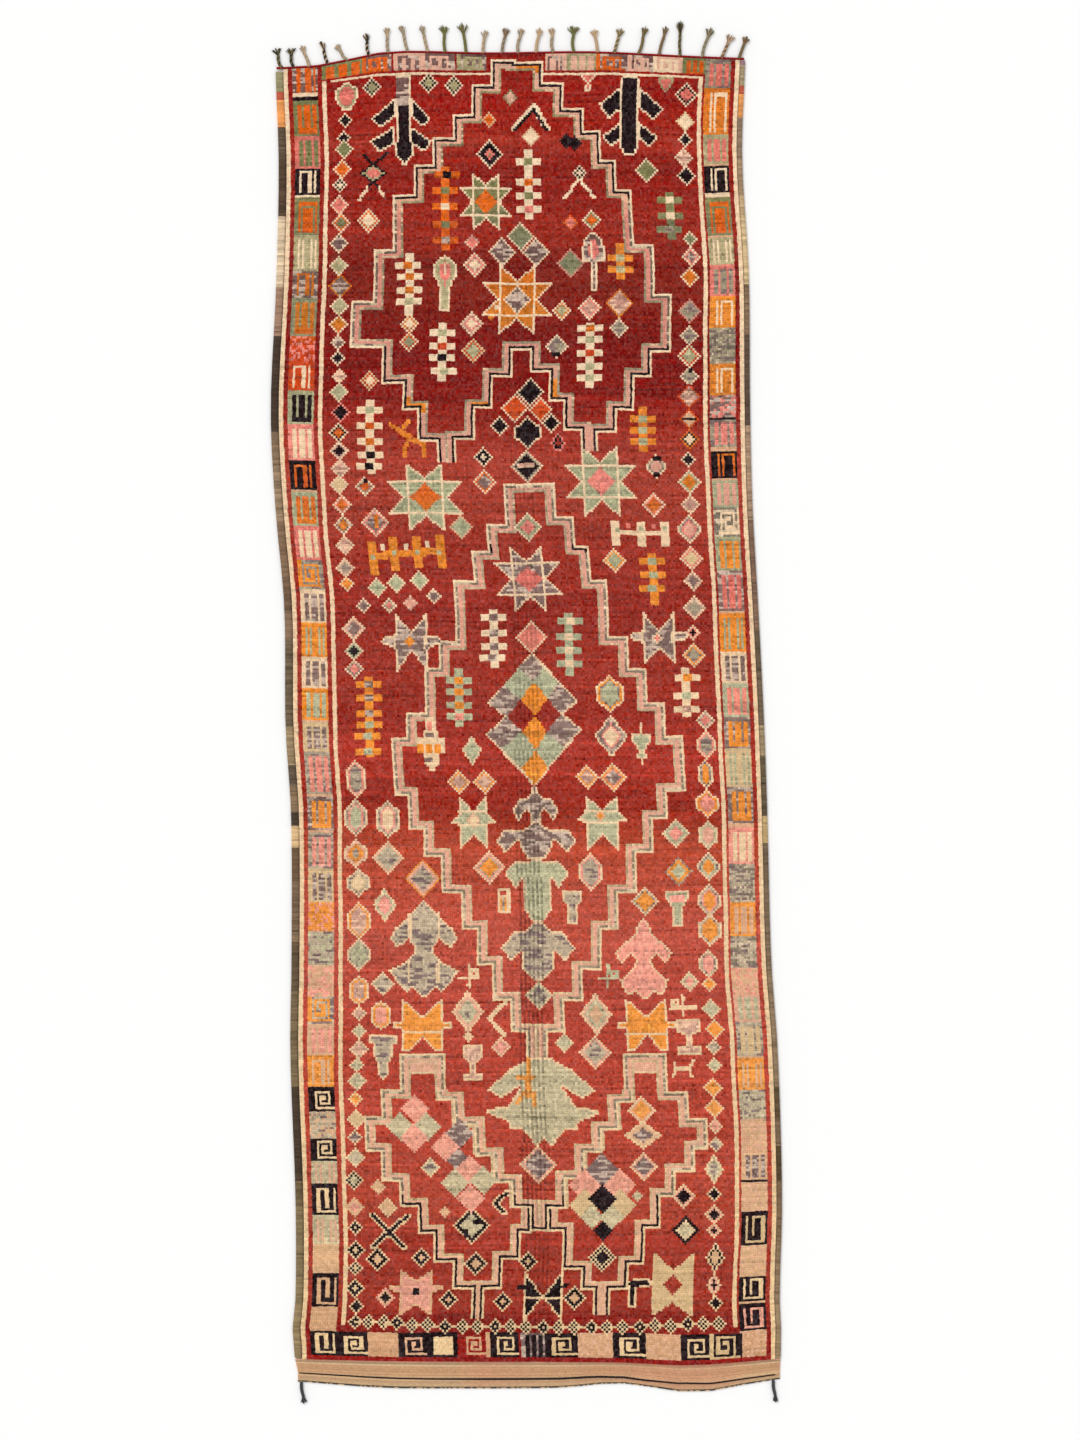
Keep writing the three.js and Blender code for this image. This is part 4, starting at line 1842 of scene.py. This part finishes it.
def wound(path, strands, away, turns, thick):
    """Strands wound round a path: a list of point arrays."""
    share = np.linspace(0, 1, len(path))
    run = np.gradient(path, axis=0)
    run /= np.linalg.norm(run, axis=1)[:, None]
    side = np.stack([-run[:, 1], run[:, 0], np.zeros(len(path))], -1)
    made = []
    for strand in range(strands):
        turn = share * turns * math.tau + strand * math.tau / strands
        spots = path + side * (away * np.cos(turn))[:, None]
        spots[:, 2] += away * FLATTENED * np.sin(turn)
        made.append(np.column_stack([spots, np.full(len(path), thick)]))
    return made


print(len(YARNS), "yarns spun")

# %% [markdown]
# ## The heading and the twined line
# A red two-strand twist closes the knotted end, and a black one runs across the flat weave.

# %% Heading and twined line
TWIST_LEVEL = 0.0044
HEAD_POINTS = 900
HEAD_RADIUS = 0.0018
HEAD_AWAY = 0.0017
HEAD_TURNS = 105
HEAD_SHORT = 0.004
HEAD_OUT = 0.0038
head_x = np.linspace(LEFT_OUT[1][-1] + HEAD_SHORT, RIGHT_OUT[1][-1] - HEAD_SHORT, HEAD_POINTS)
head_y = along_edge(TOP, head_x) + HEAD_OUT
head_path = np.stack([head_x, head_y, np.full(HEAD_POINTS, TWIST_LEVEL)], -1)
head_strands = wound(head_path, 2, HEAD_AWAY, HEAD_TURNS, HEAD_RADIUS)
heading = strands_piece("heading_twist", list(zip(head_strands, ("red", "maroon"))))

TWINE_POINTS = 1100
TWINE_FROM = 0.003
TWINE_TO = 0.99
TWINE_RADIUS = 0.0012
TWINE_AWAY = 0.0011
TWINE_TURNS = 120
TWINE_DOWN = {0: 0.62, 0.1: 0.62, 0.3: 0.65, 0.6: 0.65, 0.72: 0.74, 0.8: 0.69, 0.875: 0.73, 1: 0.76}
TWINE_BOLD = {0: 0.7, 0.25: 1.1, 0.4: 1.6, 0.6: 1.6, 0.75: 1.2, 1: 0.8}
twine_share = np.linspace(TWINE_FROM, TWINE_TO, TWINE_POINTS)
twine_down = np.interp(twine_share, list(TWINE_DOWN), list(TWINE_DOWN.values()))
twine_x, twine_y = end_place(twine_share, twine_down)
twine_path = np.stack([twine_x, twine_y, np.full(TWINE_POINTS, TWIST_LEVEL)], -1)
bold = np.interp(twine_share, list(TWINE_BOLD), list(TWINE_BOLD.values()))
twine_strands = wound(twine_path, 2, TWINE_AWAY, TWINE_TURNS, TWINE_RADIUS)
for strand in twine_strands:
    strand[:, 3] *= bold
twine = strands_piece("twined_line", [(strand, "black") for strand in twine_strands])

# %% [markdown]
# ## The fringe
# The warp ends are braided in groups, and each braid ends in a loose tuft. A braid is three strands wound
# round a leaning line, and the tuft is twenty single yarns that spread from its end. The table has the place
# of each root, how far the tip leans and reaches, and how wide the tuft is, in millimetres, and two yarns.

# %% Braided tassels
MM = 0.001
TASSELS = """
-610 -15 42 20 olive dark
-580 -10 42 20 dark olive
-542 -20 45 13 beige grey
-495 -17 50 12 dark beige
-445 -30 30 13 grey beige
-392 -8 48 15 dark beige
-345 -3 58 13 grey beige
-295 -17 60 13 grey beige
-245 -17 60 12 beige grey
-202 -3 62 21 green olive
-150 -10 68 20 green olive
-108 6 50 15 beige grey
-60 12 58 14 grey brown
-20 8 55 14 grey beige
25 10 55 13 beige beige
68 -4 55 12 grey beige
120 -2 60 22 green olive
178 -8 50 16 beige beige
220 18 55 17 olive beige
280 20 62 14 olive brown
332 20 65 14 brown olive
385 0 82 14 olive dark
440 22 68 18 grey olive
488 27 52 18 brown beige
532 20 48 15 olive brown
"""
SHIFT_X = -0.692 * MM
BRAID_POINTS = 16
BRAID_SHARE = 0.62
BRAID_THICK = 0.0023
BRAID_TURN = 0.013
BRAID_LEVEL = 0.0046
BRAID_SWAY = 0.004
CORNER_SWAY = 0.002
ROOT_OUT = 0.004
MORE_REACH = 9
MORE_SPREAD = 1.5
TUFT_YARNS = 20
TUFT_POINTS = 6
TUFT_DEEP = 0.0016


def tassel(start, end, spread, yarns, thick, sway):
    """The strands of one braided tassel from its root to the tip of its tuft."""
    share = np.linspace(0, 1, BRAID_POINTS)
    start = np.array(start)
    end = np.array(end)
    bend = np.array([end[1] - start[1], start[0] - end[0], 0])
    bend /= np.linalg.norm(bend)
    neck = start + (end - start) * BRAID_SHARE
    path = start + (neck - start) * share[:, None] + bend * (np.sin(share * math.pi) * sway)[:, None]
    length = np.linalg.norm(neck - start)
    plaits = wound(path, 3, thick * 0.95, length / BRAID_TURN, thick)
    strands = list(zip(plaits, (*yarns, yarns[0])))
    along = (end - start) / np.linalg.norm(end - start)
    wide = np.array([-along[1], along[0], 0])
    for _ in range(TUFT_YARNS):
        out = dice.uniform(-1, 1)
        reach = dice.uniform(0.75, 1.0) * (1 - 0.25 * abs(out))
        step = np.linspace(0, 1, TUFT_POINTS)[:, None]
        spots = path[-1] + (end - path[-1]) * step * reach
        spots = spots + wide * out * (spread / 2 * step ** 1.4 + thick * (1 - step))
        spots[:, 2] += dice.uniform(-1, 1) * TUFT_DEEP
        radius = np.linspace(thick * 0.6, thick * 0.3, TUFT_POINTS)
        strands.append((np.column_stack([spots, radius]), yarns[dice.integers(2)]))
    return strands


braids = []
for root, lean, reach, spread, *yarns in table(TASSELS):
    x = root * MM + SHIFT_X
    y = along_edge(TOP, x) + ROOT_OUT
    tip = (x + lean * MM, y + (reach + MORE_REACH) * MM, BRAID_LEVEL)
    sway = dice.uniform(-BRAID_SWAY, BRAID_SWAY)
    braids += tassel((x, y, BRAID_LEVEL), tip, spread * MORE_SPREAD * MM, yarns, BRAID_THICK, sway)
fringe = strands_piece("fringe_braids", braids)
CORNER_TASSELS = ((-561, 7, 56, 17), (618, 7, 56, 14))
for name, (root, lean, reach, spread) in zip(("left", "right"), CORNER_TASSELS):
    x = root * MM + SHIFT_X
    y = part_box(f"corner_tassel_{name}")[1].y
    start = (x, y, BRAID_LEVEL)
    tip = (x + lean * MM, y - reach * MM, BRAID_LEVEL)
    strands = tassel(start, tip, spread * MM, ("slate", "slate"), BRAID_THICK, CORNER_SWAY)
    strands_piece(f"corner_braid_{name}", strands)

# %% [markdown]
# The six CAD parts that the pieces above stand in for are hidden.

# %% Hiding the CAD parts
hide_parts("rug")
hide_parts("selvedge_left")
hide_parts("selvedge_right")
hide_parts("top_fringe")
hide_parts("corner_tassel_left")
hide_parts("corner_tassel_right")
print(f"cloth {pile_wide:.3f} by {pile_long:.3f} m")

# %% [markdown]
# ## Studio
# The rug lies on a pale floor under even light from all round, with one broad lamp that gives the tufts a
# bright and a dark side. The camera hangs straight above and looks down.

# %% Floor, light and camera
FLOOR_HALF = 40
FLOOR_GREY = (0.93, 0.93, 0.925, 1)
SKY_LIGHT = 0.78
LAMP_LIGHT = 1.25
LAMP_WIDE = 25
LAMP_TURN = (-32, -30, 0)
LENS = 80
SENSOR = 36
EYE = (0.0343, -0.0160, 8.0)
made = bmesh.new()
bmesh.ops.create_grid(made, x_segments=4, y_segments=4, size=FLOOR_HALF)
mesh = mesh_of("floor", made)
floor = bpy.data.objects.new("floor", mesh)
bpy.context.scene.collection.objects.link(floor)
floor_finish = Finish("studio floor", roughness=0.9)
floor_finish.shader.inputs["Base Color"].default_value = FLOOR_GREY
mesh.materials.append(floor_finish.material)

scene = bpy.context.scene
scene.world = bpy.data.worlds.new("studio")
scene.world.use_nodes = True
sky = scene.world.node_tree.nodes["Background"]
sky.inputs["Color"].default_value = (1, 1, 1, 1)
sky.inputs["Strength"].default_value = SKY_LIGHT
lamp = bpy.data.objects.new("key", bpy.data.lights.new("key", "SUN"))
lamp.data.energy = LAMP_LIGHT
lamp.data.angle = math.radians(LAMP_WIDE)
lamp.rotation_euler = [math.radians(turn) for turn in LAMP_TURN]
scene.collection.objects.link(lamp)
scene.view_settings.view_transform = "Standard"

eye = bpy.data.objects.new("camera", bpy.data.cameras.new("camera"))
eye.data.lens = LENS
eye.data.sensor_width = SENSOR
eye.location = EYE
scene.collection.objects.link(eye)
scene.camera = eye
print("studio ready")
